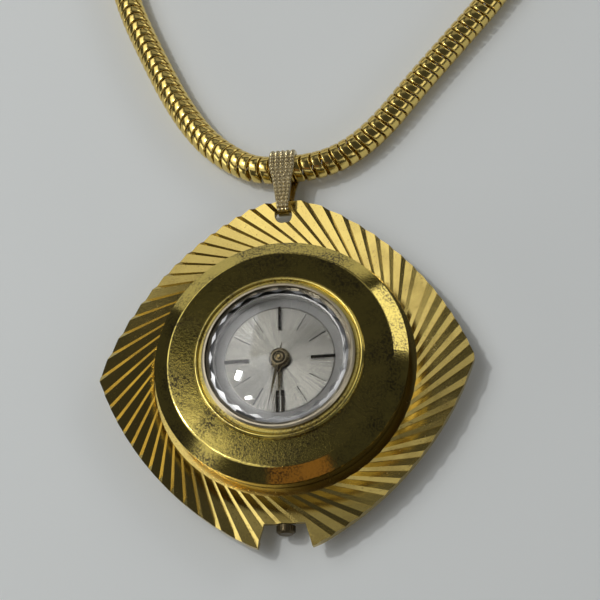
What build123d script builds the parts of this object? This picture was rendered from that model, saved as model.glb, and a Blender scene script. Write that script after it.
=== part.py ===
from math import atan2, cos, degrees, hypot, pi, radians, sin, sqrt, tan
import os

from build123d import *

# A pendant watch that lies on its back, dial up, twelve o'clock and crown towards -Y.
# The bail and the chain are at +Y. The origin is the middle of the flat case back. Sizes in mm.

# Frame plate: an eye shaped outline with a crown notch, a bail hole and swirled flutes
plate_half_width = 22.5
plate_half_height = 22.1
shoulder_x = 4.4
shoulder_drop = 1.0
shoulder_y = plate_half_height - shoulder_drop
side_radius = 38.5
tip_radius = 1.2
plate_top = 3.4
plate_bottom = 2.65
rim_bottom = 2.15
rim_width = 0.8
ledge_depth = 0.35
flute_count = 60
flute_inner_gap = 1.05
flute_swirl_radius = 12.9
flute_reach_share = 0.68
flute_wide_slope_share = 0.38
flute_narrow_slope_share = 0.76
notch_floor_share = 0.526
notch_floor_width = 4.8
notch_mouth_width = 6.2
notch_mouth_inset = 0.7
notch_mouth = plate_half_height - notch_mouth_inset
hole_inset = 2.0
hole_y = plate_half_height - hole_inset
hole_radius = 1.1
cut_overrun = 1.2

# Case band, with the shoulder that carries the frame plate
band_outer_radius = 14.7
band_wall = 1.1
band_inner_radius = band_outer_radius - band_wall
band_lower_step = 0.3
band_lower_radius = band_outer_radius - band_lower_step
band_top = 5.5
band_shoulder_width = 0.65
band_shoulder_radius = band_outer_radius + band_shoulder_width
flute_inner_radius = band_outer_radius + flute_inner_gap
flute_reach = hypot(plate_half_width, plate_half_height) * flute_reach_share
notch_floor = band_shoulder_radius + (plate_half_height - band_shoulder_radius) * notch_floor_share
plate_clearance = 0.05

# Case back
back_floor = 0.6
back_rest_inset = 1.1
back_rest_radius = band_inner_radius - back_rest_inset
back_edge_height = 0.3
back_skirt_gap = 0.05
back_skirt_radius = band_inner_radius - back_skirt_gap
back_skirt_wall = 0.45
back_skirt_top = 1.6

# Crystal and its gasket
crystal_seat = 6.8
crystal_radius = 8.55
crystal_clearance = 0.08
crystal_top = 8.95
crystal_girdle_top = 7.7
crystal_wall = 1.0
facet_count = 20
facet_bottom = 7.35
facet_slope = 50
gasket_thickness = 0.1
gasket_width = 0.85

# Bezel, from its edge inwards: slope, flat ring, then the crystal ring with its bead and lip
bezel_overhang = 0.35
bezel_radius = band_outer_radius + bezel_overhang
bezel_edge_top = 5.85
bezel_slope_width = 1.8
bezel_ridge_radius = bezel_radius - bezel_slope_width
bezel_ridge_top = 6.8
bezel_inner_top = 6.75
ring_base_width = 1.5
ring_base_radius = crystal_radius + ring_base_width
bead_radius = 0.26
ring_step_width = 0.85
ring_step_radius = crystal_radius + ring_step_width
ring_step_top = 7.2
lip_wall = 0.5
lip_outer_radius = crystal_radius + lip_wall
lip_bevel = 0.22
lip_top = 7.75
bezel_skirt_depth = 0.6
bezel_skirt_wall = 0.45
skirt_clearance = 0.05
rehaut_ledge = 1.05
rehaut_radius = crystal_radius - rehaut_ledge
rehaut_bottom = 5.75

# Dial and applied hour bars
dial_margin = 1.4
dial_radius = rehaut_radius + dial_margin
dial_bottom = 5.45
dial_thickness = 0.25
dial_hole_radius = 0.75
marks_inset = 1.02
marks_radius = rehaut_radius - marks_inset
bar_length = 2.85
bar_width = 0.3
bar_height = 0.2
twelve_bar_length = 2.6
twelve_bar_gap = 0.34

# Hands, at two minutes past twelve
minute_turn = 12.0
hour_turn = 1.0
hour_hand_bottom = 6.0
minute_hand_bottom = 6.4
hand_thickness = 0.12
hour_hand_length = 4.8
hour_hand_width = 0.62
hour_hub_radius = 1.25
minute_hand_length = 6.7
minute_hand_width = 0.46
minute_tail_length = 1.85
minute_hub_radius = 0.9
cannon_top = 6.85

# Teeth: share of a module above and below the pitch circle, and of a pitch to each side
addendum_share = 0.8
dedendum_share = 1.1
tip_tooth_share = 0.08
pitch_tooth_share = 0.19
root_tooth_share = 0.27
hub_share = 0.22
web_share = 0.78

# Movement plates: heights above the rest face
ring_inner_radius = 8.6
ring_ledge_radius = 8.2
ring_ledge_height = 0.35
main_plate_radius = 8.5
main_plate_bottom = 2.8
main_plate_top = 4.2
main_plate_rim = 0.6
bridge_bottom = 1.0
bridge_top = 1.45
bridge_radius = 8.1
pillar_radius = 0.55
screw_radius = 0.2
screw_head_radius = 0.42
screw_head_height = 0.18
screw_depth = 1.5
pivot_radius = 0.12
pivot_clearance = 0.02
pivot_depth = 0.35
pivot_hole_depth = 1.15
jewel_radius = 0.3
jewel_thickness = 0.15

# Where the arbors stand
barrel_at = (-3.64, -1.70)
third_at = (3.04, -1.11)
fourth_at = (3.74, 1.52)
escape_at = (2.50, 3.66)
pallet_at = (1.20, 4.75)
balance_at = (-1.60, 4.90)
crown_wheel_at = (0.0, -4.50)
minute_wheel_at = (1.20, -1.60)
setting_wheel_at = (0.60, -3.82)
click_at = (-4.32, 2.14)
setting_lever_at = (1.70, -7.60)
yoke_at = (2.20, -5.20)
cock_foot_at = (-6.0, 4.4)
pallet_foot_at = (1.9, 6.7)
barrel_bridge_pillars = [(-4.2, -6.1), (-6.3, 2.5), (4.4, -5.6)]
train_bridge_pillars = [(6.6, -1.9), (5.9, 4.6)]
barrel_bridge_edge = [(-9.0, 3.2), (-0.9, 3.2), (-0.9, -2.9), (7.0, -2.9), (7.0, -9.0), (-9.0, -9.0)]
train_bridge_edge = [(-0.8, -2.8), (8.6, -2.8), (8.6, 6.2), (1.7, 6.2), (1.7, 2.1), (-0.8, 1.1)]

# Train: teeth, module and the height of each wheel and pinion
arbor_radius = 0.2
wheel_thickness = 0.14
spoke_width = 0.4
centre_spokes = 5
wheel_spokes = 4
barrel_teeth = 60
barrel_module = 0.115
centre_teeth = 64
centre_module = 0.09
centre_pinion_teeth = 10
third_teeth = 60
third_module = 0.08
fourth_teeth = 60
fourth_module = 0.075
pinion_leaves = 8
escape_leaves = 6
escape_teeth = 15
escape_radius = 1.5
escape_root_share = 0.72
centre_wheel_bottom = 1.55
centre_pinion_bottom = 2.4
centre_pinion_height = 0.35
third_pinion_bottom = 1.5
third_wheel_bottom = 1.86
fourth_pinion_bottom = 1.82
fourth_wheel_bottom = 2.16
escape_pinion_bottom = 2.12
escape_wheel_bottom = 2.45
leaf_height = 0.24

# Barrel
barrel_bottom = 1.85
barrel_top = 2.75
barrel_drum_radius = 3.1
barrel_wall = 0.15
barrel_ring_bottom = 2.46
barrel_ring_height = 0.24
barrel_arbor_radius = 0.5
barrel_hub_radius = 0.75
arbor_square = 0.6
mainspring_turns = 7
mainspring_thickness = 0.07
mainspring_inset = 0.12

# Ratchet wheel, crown wheel and click, on the case back side of the barrel bridge
upper_wheel_bottom = 0.72
upper_wheel_height = 0.22
ratchet_teeth = 44
crown_wheel_teeth = 24
winding_module = 0.135
crown_core_radius = 0.5
wheel_screw_radius = 0.78
wheel_screw_height = 0.08
click_width = 0.42
click_tip_gap = 0.05
click_tip_turn = 120
click_height = 0.18
click_pin_radius = 0.16
click_spring_width = 0.08
click_spring_at = (-6.3, 1.35)

# Stem, crown and what turns or slides on the stem
stem_height = 2.13
stem_radius = 0.4
stem_square = 0.5
stem_tip_radius = 0.24
stem_tip = 2.95
stem_square_start = 4.3
stem_square_end = 6.9
stem_groove_middle = 7.2
stem_groove_width = 0.5
stem_groove_radius = 0.24
stem_bearing_y = 3.95
stem_bearing_length = 0.35
stem_bearing_width = 0.9
stem_bearing_drop = 1.0
crown_radius = 1.1
crown_length = 0.95
crown_gap = 0.08
crown_dome = 0.3
crown_grooves = 24
crown_groove_depth = 0.1
tube_radius = 0.5
tube_end_gap = 0.3
tube_end = notch_floor - tube_end_gap
tube_start_gap = 0.1
tube_start = band_inner_radius + tube_start_gap
running_clearance = 0.03
winding_pinion_start = 6.26
winding_pinion_length = 0.6
winding_pinion_teeth = 16
winding_pinion_radius = 1.24
winding_pinion_root = 0.98
clutch_start = 4.8
clutch_length = 1.3
clutch_radius = 0.62
clutch_groove_middle = 5.5
clutch_groove_width = 0.5
clutch_groove_radius = 0.44
lever_bottom = 2.0
lever_height = 0.25
lever_width = 0.5
lever_finger_width = 0.28
lever_finger_gap = 0.06
pin_radius = 0.18

# Pallet fork and balance
pallet_bridge_bottom = 2.26
pallet_bridge_height = 0.15
pallet_bridge_width = 0.9
fork_bottom = 2.46
fork_height = 0.12
fork_length = 2.1
fork_width = 0.3
fork_slot = 0.16
pallet_arm = 0.85
pallet_stone_length = 0.26
pallet_stone_width = 0.16
balance_radius = 2.8
balance_rim_width = 0.35
balance_bottom = 1.95
balance_height = 0.25
balance_arm_width = 0.4
roller_radius = 0.45
balance_staff_radius = 0.18
impulse_pin_turn = 60
roller_bottom = 2.26
roller_height = 0.14
impulse_pin_radius = 0.07
hairspring_bottom = 1.65
hairspring_height = 0.13
hairspring_turns = 5.5
spiral_steps = 20
hairspring_thickness = 0.05
hairspring_inner_radius = 0.4
hairspring_outer_radius = 1.6
stud_radius = 0.18
cock_width = 1.9
cock_foot_radius = 0.7
regulator_height = 0.15
regulator_ring_width = 0.2
regulator_pointer = 1.7
regulator_tip_width = 0.16
regulator_bore = 0.45

# Motion works, between the main plate and the dial
motion_module = 0.1
cannon_teeth = 10
minute_wheel_teeth = 30
minute_pinion_teeth = 8
hour_wheel_teeth = 32
setting_teeth = 16
cannon_radius = 0.42
cannon_bottom = 4.25
cannon_leaf_height = 0.3
cannon_bore = 0.22
hand_seat_radius = 0.3
motion_wheel_bottom = 4.28
hour_wheel_bottom = 4.65
pipe_wall = 0.2
minute_pinion_height = 0.42
stud_post_radius = 0.26

# Bail: a strap bent round the frame's rim and round the chain
bail_axis_inset = 0.45
bail_axis_y = plate_half_height - bail_axis_inset
bail_axis_z = 2.78
bail_rim_radius = 0.96
bail_reach = 5.25
bail_chain_y = bail_axis_y + bail_reach
bail_chain_z = 2.28
bail_chain_radius = 1.85
bail_strap = 0.4
bail_wide = 3.2
bail_middle_width = 2.35
bail_narrow = 1.3
bail_taper_length = 2.4
bail_taper_y = bail_chain_y - bail_taper_length
bail_full_length = 0.5
bail_full_y = bail_chain_y - bail_full_length

# Chain: round snake chain, a left strand that runs into the coil, a right strand and a clasp
# The runs' corners are measured upwards from the middle of the bail's loop
chain_diameter = 3.45
chain_height = 1.75
arc_share = 0.45
left_run = [
    (0.4, 0.0, 2.28),
    (-2.9, 0.0, 2.28),
    (-6.2, 1.7, 1.95),
    (-10.2, 5.1, 1.75),
    (-13.9, 10.7, 1.75),
    (-17.3, 17.9, 1.75),
    (-21.0, 26.5, 1.75),
    (-23.3, 35.3, 1.75),
    (-23.8, 44.4, 1.75),
    (-23.95, 54.1, 1.75),
    (-23.95, 63.65, 1.75),
]
right_run = [
    (0.4, 0.0, 2.28),
    (3.9, 0.0, 2.28),
    (8.3, 1.85, 1.95),
    (12.3, 5.3, 1.75),
    (16.6, 10.6, 1.75),
    (21.9, 16.7, 1.75),
    (26.9, 22.4, 1.75),
    (31.0, 28.1, 1.75),
    (32.9, 34.9, 1.75),
    (32.9, 41.1, 1.75),
]
coil_centre_x = -2.55
coil_reach = 67.1
coil_centre_y = bail_chain_y + coil_reach
coil_radius = 21.4
coil_pitch = 3.9
coil_layer_rise = 3.92
coil_floor_turns = 2.0
coil_climb_turns = 0.5
coil_top_turns = 1.847
coil_arcs_per_turn = 4
coil_exit_run = 14.0
coil_samples = 1500
tail_run = [
    (28.6, 70.3, 2.6),
    (32.9, 62.7, 1.75),
    (32.9, 55.5, 1.75),
]
cap_radius = 1.72
cap_length = 3.0
eye_radius = 0.85
eye_thickness = 0.7
eye_hole_radius = 0.42
eye_reach = 0.9
link_radius = 1.2
link_wire_radius = 0.25
hook_width = 1.7
hook_thickness = 0.9

FOOT = (Align.CENTER, Align.CENTER, Align.MIN)


def post(at, radius, bottom, top, mode=Mode.ADD):
    """A round post or hole from one height to another."""
    with Locations((at[0], at[1], bottom)):
        Cylinder(radius, top - bottom, align=FOOT, mode=mode)


def rod(radius, near, far, x=0.0, height=stem_height, mode=Mode.ADD):
    """A round rod or bore along the stem's axis, between two distances towards twelve."""
    plane = Plane(origin=(x, -near, height), x_dir=(1, 0, 0), z_dir=(0, -1, 0))
    with Locations(plane):
        Cylinder(radius, far - near, align=FOOT, mode=mode)


def polar(radius, angle, centre=(0, 0)):
    """A point at a distance and an angle from a centre."""
    return (centre[0] + radius * cos(radians(angle)), centre[1] + radius * sin(radians(angle)))


def distance(a, b):
    """The distance between two arbors."""
    return hypot(b[0] - a[0], b[1] - a[1])


def direction(a, b):
    """The angle from one arbor to another, in degrees."""
    return degrees(atan2(b[1] - a[1], b[0] - a[0]))


def meshed_turn(turn, teeth, angle, other_teeth):
    """The turn of a gear that meshes with one that is turned by a known angle."""
    offset = ((angle - turn) * teeth / 360) % 1
    return angle + 180 + (offset + 0.5) * 360 / other_teeth


def gear_points(teeth, module, turn):
    """The outline of a gear with one tooth centred on the angle turn."""
    pitch = teeth * module / 2
    root = pitch - dedendum_share * module
    tip = pitch + addendum_share * module
    flank = [(root, root_tooth_share), (pitch, pitch_tooth_share), (tip, tip_tooth_share)]
    points = []
    for tooth in range(teeth):
        middle = turn + tooth * 360 / teeth
        points += [polar(radius, middle - share * 360 / teeth) for radius, share in flank]
        points += [polar(radius, middle + share * 360 / teeth) for radius, share in reversed(flank)]
    return points


def gear_face(at, height, teeth, module, turn):
    """The face of a gear at its place."""
    with BuildSketch(Plane((at[0], at[1], height))) as face:
        with BuildLine():
            Polyline(*gear_points(teeth, module, turn), close=True)
        make_face()
    return face.sketch


def spoke_windows(at, height, inner, outer, count, spoke, turn=0.0):
    """The openings between the spokes of a wheel."""
    with BuildSketch(Plane((at[0], at[1], height))) as windows:
        Circle(outer)
        Circle(inner, mode=Mode.SUBTRACT)
        with PolarLocations(0, count, start_angle=turn):
            Rectangle(outer, spoke, align=(Align.MIN, Align.CENTER), mode=Mode.SUBTRACT)
    return windows.sketch


def spiral_face(at, height, inner, outer, turns, thickness):
    """A flat ribbon wound as a steady spiral."""
    inside = []
    outside = []
    steps = round(turns * spiral_steps)
    for step in range(steps + 1):
        radius = inner + (outer - inner) * step / steps
        inside.append(polar(radius - thickness / 2, 360 * turns * step / steps))
        outside.append(polar(radius + thickness / 2, 360 * turns * step / steps))
    with BuildSketch(Plane((at[0], at[1], height))) as ribbon:
        with BuildLine():
            Polyline(*inside, *reversed(outside), close=True)
        make_face()
    return ribbon.sketch


def arbor(at, bottom=bridge_top, top=main_plate_bottom, radius=arbor_radius):
    """An arbor with a pivot at each end, in the bridge and in the main plate."""
    post(at, radius, bottom + pivot_clearance, top - pivot_clearance)
    post(at, pivot_radius, bottom - pivot_depth, top + pivot_depth)


def lever_face(at, tip, height, width, tip_width):
    """A lever that tapers from its pivot to a narrow tip."""
    reach = distance(at, tip)
    with BuildSketch(Plane((at[0], at[1], height)).rotated((0, 0, direction(at, tip)))) as lever:
        Circle(width / 2)
        with BuildLine():
            Polyline(
                (0, width / 2),
                (reach, tip_width / 2),
                (reach, -tip_width / 2),
                (0, -width / 2),
                close=True,
            )
        make_face()
    return lever.sketch


def plate_outline():
    """The eye shaped outline, from its right tip round to the right tip again."""
    with BuildSketch(Plane.XY.offset(rim_bottom)) as outline:
        with BuildLine():
            for x_side, y_side in ((1, 1), (-1, 1), (-1, -1), (1, -1)):
                tip = (x_side * plate_half_width, 0)
                shoulder = (x_side * shoulder_x, y_side * shoulder_y)
                bend = side_radius * x_side * y_side
                RadiusArc(tip, shoulder, -bend)
            for y_side in (1, -1):
                ThreePointArc(
                    (shoulder_x, y_side * shoulder_y),
                    (0, y_side * plate_half_height),
                    (-shoulder_x, y_side * shoulder_y),
                )
        make_face()
        tips = outline.vertices().group_by(Axis.X)
        fillet(tips[0] + tips[-1], tip_radius)
    return outline.sketch


def crest_point(index, run):
    """A point on the crest line with this index, at a run along the line."""
    angle = 360 * index / flute_count
    foot = polar(flute_swirl_radius, angle)
    return Vector(foot[0] - run * sin(radians(angle)), foot[1] + run * cos(radians(angle)), plate_top)


def flute_corners(run):
    """The corners of a flute's cutter at a run: crest, valley, next crest, then above both."""
    first = crest_point(0, run)
    second = crest_point(1, run)
    step = radians(360 / flute_count)
    from_first = run * sin(step) + flute_swirl_radius * (1 - cos(step))
    from_second = run * sin(step) - flute_swirl_radius * (1 - cos(step))
    wide = flute_wide_slope_share * from_first
    narrow = flute_narrow_slope_share * from_second
    valley = first + (second - first) * (narrow / (wide + narrow))
    depth = Vector(0, 0, wide * narrow / (wide + narrow))
    above = Vector(0, 0, cut_overrun)
    return [first, valley - depth, second, second + above, first + above]


# Frame plate
flute_start = sqrt(flute_inner_radius**2 - flute_swirl_radius**2)
near_corners = flute_corners(flute_start)
far_corners = flute_corners(flute_reach)
cutter_faces = [Face(Wire.make_polygon(near_corners)), Face(Wire.make_polygon(far_corners))]
for index in range(len(near_corners)):
    rim = [near_corners[index - 1], near_corners[index], far_corners[index], far_corners[index - 1]]
    cutter_faces.append(Face(Wire.make_polygon(rim)))
flute_cutter = Solid(Shell(cutter_faces))

with BuildPart() as frame_plate:
    extrude(plate_outline(), amount=plate_top - rim_bottom)
    with BuildSketch(Plane.XY.offset(rim_bottom)):
        offset(plate_outline(), amount=-rim_width)
        with Locations((0, hole_y)):
            Circle(hole_radius + rim_width, mode=Mode.SUBTRACT)
    extrude(amount=plate_bottom - rim_bottom, mode=Mode.SUBTRACT)
    with PolarLocations(0, flute_count):
        add(flute_cutter, mode=Mode.SUBTRACT)
    post((0, 0), flute_inner_radius, plate_top - ledge_depth, plate_top + cut_overrun, Mode.SUBTRACT)
    post((0, 0), band_outer_radius + plate_clearance, 0, plate_top, Mode.SUBTRACT)
    post((0, hole_y), hole_radius, 0, plate_top, Mode.SUBTRACT)
    with BuildSketch():
        with BuildLine():
            mouth = notch_mouth + cut_overrun
            spread = (notch_mouth_width - notch_floor_width) / (notch_mouth - notch_floor) / 2
            mouth_half = notch_floor_width / 2 + spread * (mouth - notch_floor)
            Polyline(
                (-notch_floor_width / 2, -notch_floor),
                (notch_floor_width / 2, -notch_floor),
                (mouth_half, -mouth),
                (-mouth_half, -mouth),
                close=True,
            )
        make_face()
    extrude(amount=plate_top, mode=Mode.SUBTRACT)
frame_plate.part.label = "frame_plate"

# Case band
with BuildPart() as case_band:
    with BuildSketch(Plane.XZ):
        with BuildLine():
            Polyline(
                (band_inner_radius, back_floor),
                (band_lower_radius, back_floor),
                (band_lower_radius, rim_bottom),
                (band_shoulder_radius, rim_bottom),
                (band_shoulder_radius, plate_bottom),
                (band_outer_radius, plate_bottom),
                (band_outer_radius, band_top),
                (band_inner_radius, band_top),
                close=True,
            )
        make_face()
    revolve(axis=Axis.Z)
    rod(tube_radius, ring_inner_radius, tube_end, mode=Mode.SUBTRACT)
case_band.part.label = "case_band"

# Case back
with BuildPart() as case_back:
    with BuildSketch(Plane.XZ):
        with BuildLine():
            skirt_inner = back_skirt_radius - back_skirt_wall
            Polyline(
                (0, 0),
                (back_rest_radius, 0),
                (band_lower_radius, back_edge_height),
                (band_lower_radius, back_floor),
                (back_skirt_radius, back_floor),
                (back_skirt_radius, back_skirt_top),
                (skirt_inner, back_skirt_top),
                (skirt_inner, back_floor),
                (0, back_floor),
                close=True,
            )
        make_face()
    revolve(axis=Axis.Z)
case_back.part.label = "case_back"

# Bezel
with BuildPart() as bezel:
    with BuildSketch(Plane.XZ):
        with BuildLine():
            skirt_outer = band_inner_radius - skirt_clearance
            skirt_inner = skirt_outer - bezel_skirt_wall
            bore = crystal_radius + crystal_clearance
            Polyline(
                (rehaut_radius, crystal_seat),
                (rehaut_radius, rehaut_bottom),
                (skirt_inner, rehaut_bottom),
                (skirt_inner, band_top - bezel_skirt_depth),
                (skirt_outer, band_top - bezel_skirt_depth),
                (skirt_outer, band_top),
                (bezel_radius, band_top),
                (bezel_radius, bezel_edge_top),
                (bezel_ridge_radius, bezel_ridge_top),
                (ring_base_radius, bezel_inner_top),
                (ring_step_radius, ring_step_top),
                (lip_outer_radius, ring_step_top),
                (lip_outer_radius, lip_top - lip_bevel),
                (lip_outer_radius - lip_bevel, lip_top),
                (bore, lip_top),
                (bore, crystal_seat),
                close=True,
            )
        make_face()
        with Locations((ring_base_radius - bead_radius, bezel_inner_top + bead_radius)):
            Circle(bead_radius)
    revolve(axis=Axis.Z)
bezel.part.label = "bezel"

# Crystal: a shallow dome with a ring of facets at its rim
with BuildPart() as facet_body:
    post((0, 0), crystal_radius, crystal_seat, facet_bottom)
    with BuildSketch(Plane.XY.offset(facet_bottom)):
        RegularPolygon(crystal_radius, facet_count, major_radius=False)
    extrude(amount=crystal_top - facet_bottom, taper=facet_slope)

with BuildPart() as crystal:
    seat = crystal_seat + gasket_thickness
    with BuildSketch(Plane.XZ):
        with BuildLine():
            sag = crystal_top - crystal_girdle_top
            dome = (crystal_radius**2 + sag**2) / (2 * sag)
            inner = crystal_radius - crystal_wall
            inner_dome = dome - crystal_wall
            crown_z = crystal_top - crystal_wall
            rim_z = crown_z - inner_dome + sqrt(inner_dome**2 - inner**2)
            Polyline((0, crystal_top), (0, crown_z))
            RadiusArc((0, crown_z), (inner, rim_z), inner_dome)
            Polyline((inner, rim_z), (inner, seat), (crystal_radius, seat))
            Line((crystal_radius, seat), (crystal_radius, crystal_girdle_top))
            RadiusArc((0, crystal_top), (crystal_radius, crystal_girdle_top), dome)
        make_face()
    revolve(axis=Axis.Z)
    add(facet_body.part, mode=Mode.INTERSECT)
crystal.part.label = "crystal"

with BuildPart() as crystal_gasket:
    with BuildSketch(Plane.XY.offset(crystal_seat)):
        Circle(crystal_radius)
        Circle(crystal_radius - gasket_width, mode=Mode.SUBTRACT)
    extrude(amount=gasket_thickness)
crystal_gasket.part.label = "crystal_gasket"

# Dial with its hour bars
with BuildPart() as dial:
    with BuildSketch(Plane.XY.offset(dial_bottom)):
        Circle(dial_radius)
        Circle(dial_hole_radius, mode=Mode.SUBTRACT)
    extrude(amount=dial_thickness)
dial.part.label = "dial"

dial_top = dial_bottom + dial_thickness
with BuildPart() as hour_bars:
    with BuildSketch(Plane.XY.offset(dial_top)):
        with Locations(*[polar(marks_radius - bar_length / 2, angle) for angle in (0, 180)]):
            Rectangle(bar_length, bar_width)
        with Locations((0, marks_radius - bar_length / 2)):
            Rectangle(bar_width, bar_length)
        offset_x = (twelve_bar_gap + bar_width) / 2
        for side in (1, -1):
            with Locations((side * offset_x, twelve_bar_length / 2 - marks_radius)):
                Rectangle(bar_width, twelve_bar_length)
    extrude(amount=bar_height)
hour_bars.part.label = "hour_bars"

# Movement ring, which holds the movement in the case band
with BuildPart() as movement_ring:
    with BuildSketch(Plane.XZ):
        with BuildLine():
            ring_outer = band_inner_radius - skirt_clearance
            ring_upper = ring_outer - bezel_skirt_wall - skirt_clearance
            skirt_bottom = band_top - bezel_skirt_depth - skirt_clearance
            Polyline(
                (ring_inner_radius, back_skirt_top),
                (ring_outer, back_skirt_top),
                (ring_outer, skirt_bottom),
                (ring_upper, skirt_bottom),
                (ring_upper, dial_bottom),
                (ring_inner_radius, dial_bottom),
                (ring_inner_radius, main_plate_bottom),
                (ring_ledge_radius, main_plate_bottom),
                (ring_ledge_radius, main_plate_bottom - ring_ledge_height),
                (ring_inner_radius, main_plate_bottom - ring_ledge_height),
                close=True,
            )
        make_face()
    revolve(axis=Axis.Z)
    rod(tube_radius, ring_ledge_radius - cut_overrun, tube_end, mode=Mode.SUBTRACT)
movement_ring.part.label = "movement_ring"

# Main plate, dial side up
pivots = [barrel_at, third_at, fourth_at, escape_at, pallet_at, balance_at]
with BuildPart() as main_plate:
    post((0, 0), main_plate_radius, main_plate_bottom, dial_bottom)
    inner_rim = main_plate_radius - main_plate_rim
    post((0, 0), inner_rim, main_plate_top, dial_bottom, Mode.SUBTRACT)
    for at in pivots:
        bottom = main_plate_bottom
        post(at, pivot_radius + pivot_clearance, bottom, bottom + pivot_hole_depth, Mode.SUBTRACT)
    post((0, 0), cannon_bore, main_plate_bottom, main_plate_top, Mode.SUBTRACT)
    for at in (minute_wheel_at, setting_wheel_at):
        post(at, stud_post_radius, main_plate_top, motion_wheel_bottom + cannon_leaf_height)
    for at in (setting_lever_at, yoke_at):
        post(at, pin_radius, lever_bottom, main_plate_bottom)
    with Locations((0, -stem_bearing_y, main_plate_bottom)):
        Box(
            stem_bearing_width,
            stem_bearing_length,
            stem_bearing_drop,
            align=(Align.CENTER, Align.MIN, Align.MAX),
        )
    bearing_end = stem_bearing_y - stem_bearing_length
    rod(stem_tip_radius + running_clearance, bearing_end, stem_bearing_y, mode=Mode.SUBTRACT)
    near = winding_pinion_start - crown_gap
    far = winding_pinion_start + winding_pinion_length + crown_gap
    rod(winding_pinion_radius + crown_gap, near, far, mode=Mode.SUBTRACT)
main_plate.part.label = "main_plate"

# Barrel bridge, with the window for the winding pinion
with BuildPart() as barrel_bridge:
    with BuildSketch(Plane.XY.offset(bridge_bottom)):
        Circle(bridge_radius)
        with BuildLine():
            Polyline(*barrel_bridge_edge, close=True)
        make_face(mode=Mode.INTERSECT)
        with Locations((0, -winding_pinion_start - winding_pinion_length / 2)):
            window_length = winding_pinion_length + 2 * crown_gap
            Rectangle(2 * winding_pinion_radius, window_length, mode=Mode.SUBTRACT)
    extrude(amount=bridge_top - bridge_bottom)
    for at in barrel_bridge_pillars:
        post(at, pillar_radius, bridge_top, main_plate_bottom)
        post(at, screw_radius, bridge_bottom, bridge_bottom + screw_depth, Mode.SUBTRACT)
    post(barrel_at, barrel_arbor_radius + pivot_clearance, bridge_bottom, bridge_top, Mode.SUBTRACT)
    post(crown_wheel_at, screw_radius, bridge_bottom, bridge_top, Mode.SUBTRACT)
    post(click_at, click_pin_radius, upper_wheel_bottom, bridge_bottom)
barrel_bridge.part.label = "barrel_bridge"

# Train bridge
with BuildPart() as train_bridge:
    with BuildSketch(Plane.XY.offset(bridge_bottom)):
        Circle(bridge_radius)
        with BuildLine():
            Polyline(*train_bridge_edge, close=True)
        make_face(mode=Mode.INTERSECT)
    extrude(amount=bridge_top - bridge_bottom)
    for at in train_bridge_pillars:
        post(at, pillar_radius, bridge_top, main_plate_bottom)
        post(at, screw_radius, bridge_bottom, bridge_bottom + screw_depth, Mode.SUBTRACT)
    for at in ((0, 0), third_at, fourth_at, escape_at):
        post(at, jewel_radius, bridge_bottom, bridge_bottom + jewel_thickness, Mode.SUBTRACT)
        post(at, pivot_radius + pivot_clearance, bridge_bottom, bridge_top, Mode.SUBTRACT)
train_bridge.part.label = "train_bridge"

# Balance cock, one arm from its foot to the balance
with BuildPart() as balance_cock:
    extrude(
        lever_face(cock_foot_at, balance_at, bridge_bottom, cock_width, cock_width),
        amount=bridge_top - bridge_bottom,
    )
    post(balance_at, cock_width / 2, bridge_bottom, bridge_top)
    post(cock_foot_at, cock_foot_radius, bridge_top, main_plate_bottom)
    boss_bottom = bridge_bottom - regulator_height
    post(cock_foot_at, screw_radius, bridge_bottom, bridge_bottom + screw_depth, Mode.SUBTRACT)
    post(balance_at, regulator_bore - pivot_clearance, boss_bottom, bridge_bottom)
    post(balance_at, jewel_radius, boss_bottom, bridge_bottom + jewel_thickness, Mode.SUBTRACT)
    post(balance_at, pivot_radius + pivot_clearance, boss_bottom, bridge_top, Mode.SUBTRACT)
balance_cock.part.label = "balance_cock"

# Pallet bridge, between the balance and the fork
with BuildPart() as pallet_bridge:
    bridge_face = lever_face(
        pallet_at, pallet_foot_at, pallet_bridge_bottom, pallet_bridge_width, pallet_bridge_width
    )
    extrude(bridge_face, amount=pallet_bridge_height)
    post(pallet_foot_at, pallet_bridge_width / 2, pallet_bridge_bottom, main_plate_bottom)
    post(pallet_at, pivot_radius + pivot_clearance, bridge_top, main_plate_bottom, Mode.SUBTRACT)
pallet_bridge.part.label = "pallet_bridge"

# Bridge screws and jewels
with BuildPart() as bridge_screws:
    for at in barrel_bridge_pillars + train_bridge_pillars + [cock_foot_at]:
        post(at, screw_head_radius, bridge_bottom - screw_head_height, bridge_bottom)
        post(at, screw_radius, bridge_bottom, bridge_bottom + screw_depth)
bridge_screws.part.label = "bridge_screws"

with BuildPart() as jewels:
    for at in ((0, 0), third_at, fourth_at, escape_at, balance_at):
        post(at, jewel_radius, bridge_bottom, bridge_bottom + jewel_thickness)
        post(at, pivot_radius + pivot_clearance, bridge_bottom, bridge_top, Mode.SUBTRACT)
jewels.part.label = "jewels"

# Barrel drum with its toothed ring, open towards the barrel bridge
centre_turn = direction((0, 0), barrel_at)
barrel_turn = meshed_turn(centre_turn, centre_pinion_teeth, centre_turn, barrel_teeth)
with BuildPart() as barrel:
    post(barrel_at, barrel_drum_radius, barrel_bottom + barrel_wall, barrel_top)
    ring_face = gear_face(barrel_at, barrel_ring_bottom, barrel_teeth, barrel_module, barrel_turn)
    extrude(ring_face, amount=barrel_ring_height)
    inside = barrel_drum_radius - barrel_wall
    post(barrel_at, inside, barrel_bottom, barrel_top - barrel_wall, Mode.SUBTRACT)
    bore = barrel_arbor_radius + running_clearance
    post(barrel_at, bore, barrel_bottom, barrel_top, Mode.SUBTRACT)
barrel.part.label = "barrel"

with BuildPart() as barrel_cover:
    post(barrel_at, barrel_drum_radius, barrel_bottom, barrel_bottom + barrel_wall)
    bore = barrel_arbor_radius + running_clearance
    post(barrel_at, bore, barrel_bottom, barrel_top, Mode.SUBTRACT)
barrel_cover.part.label = "barrel_cover"

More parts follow.
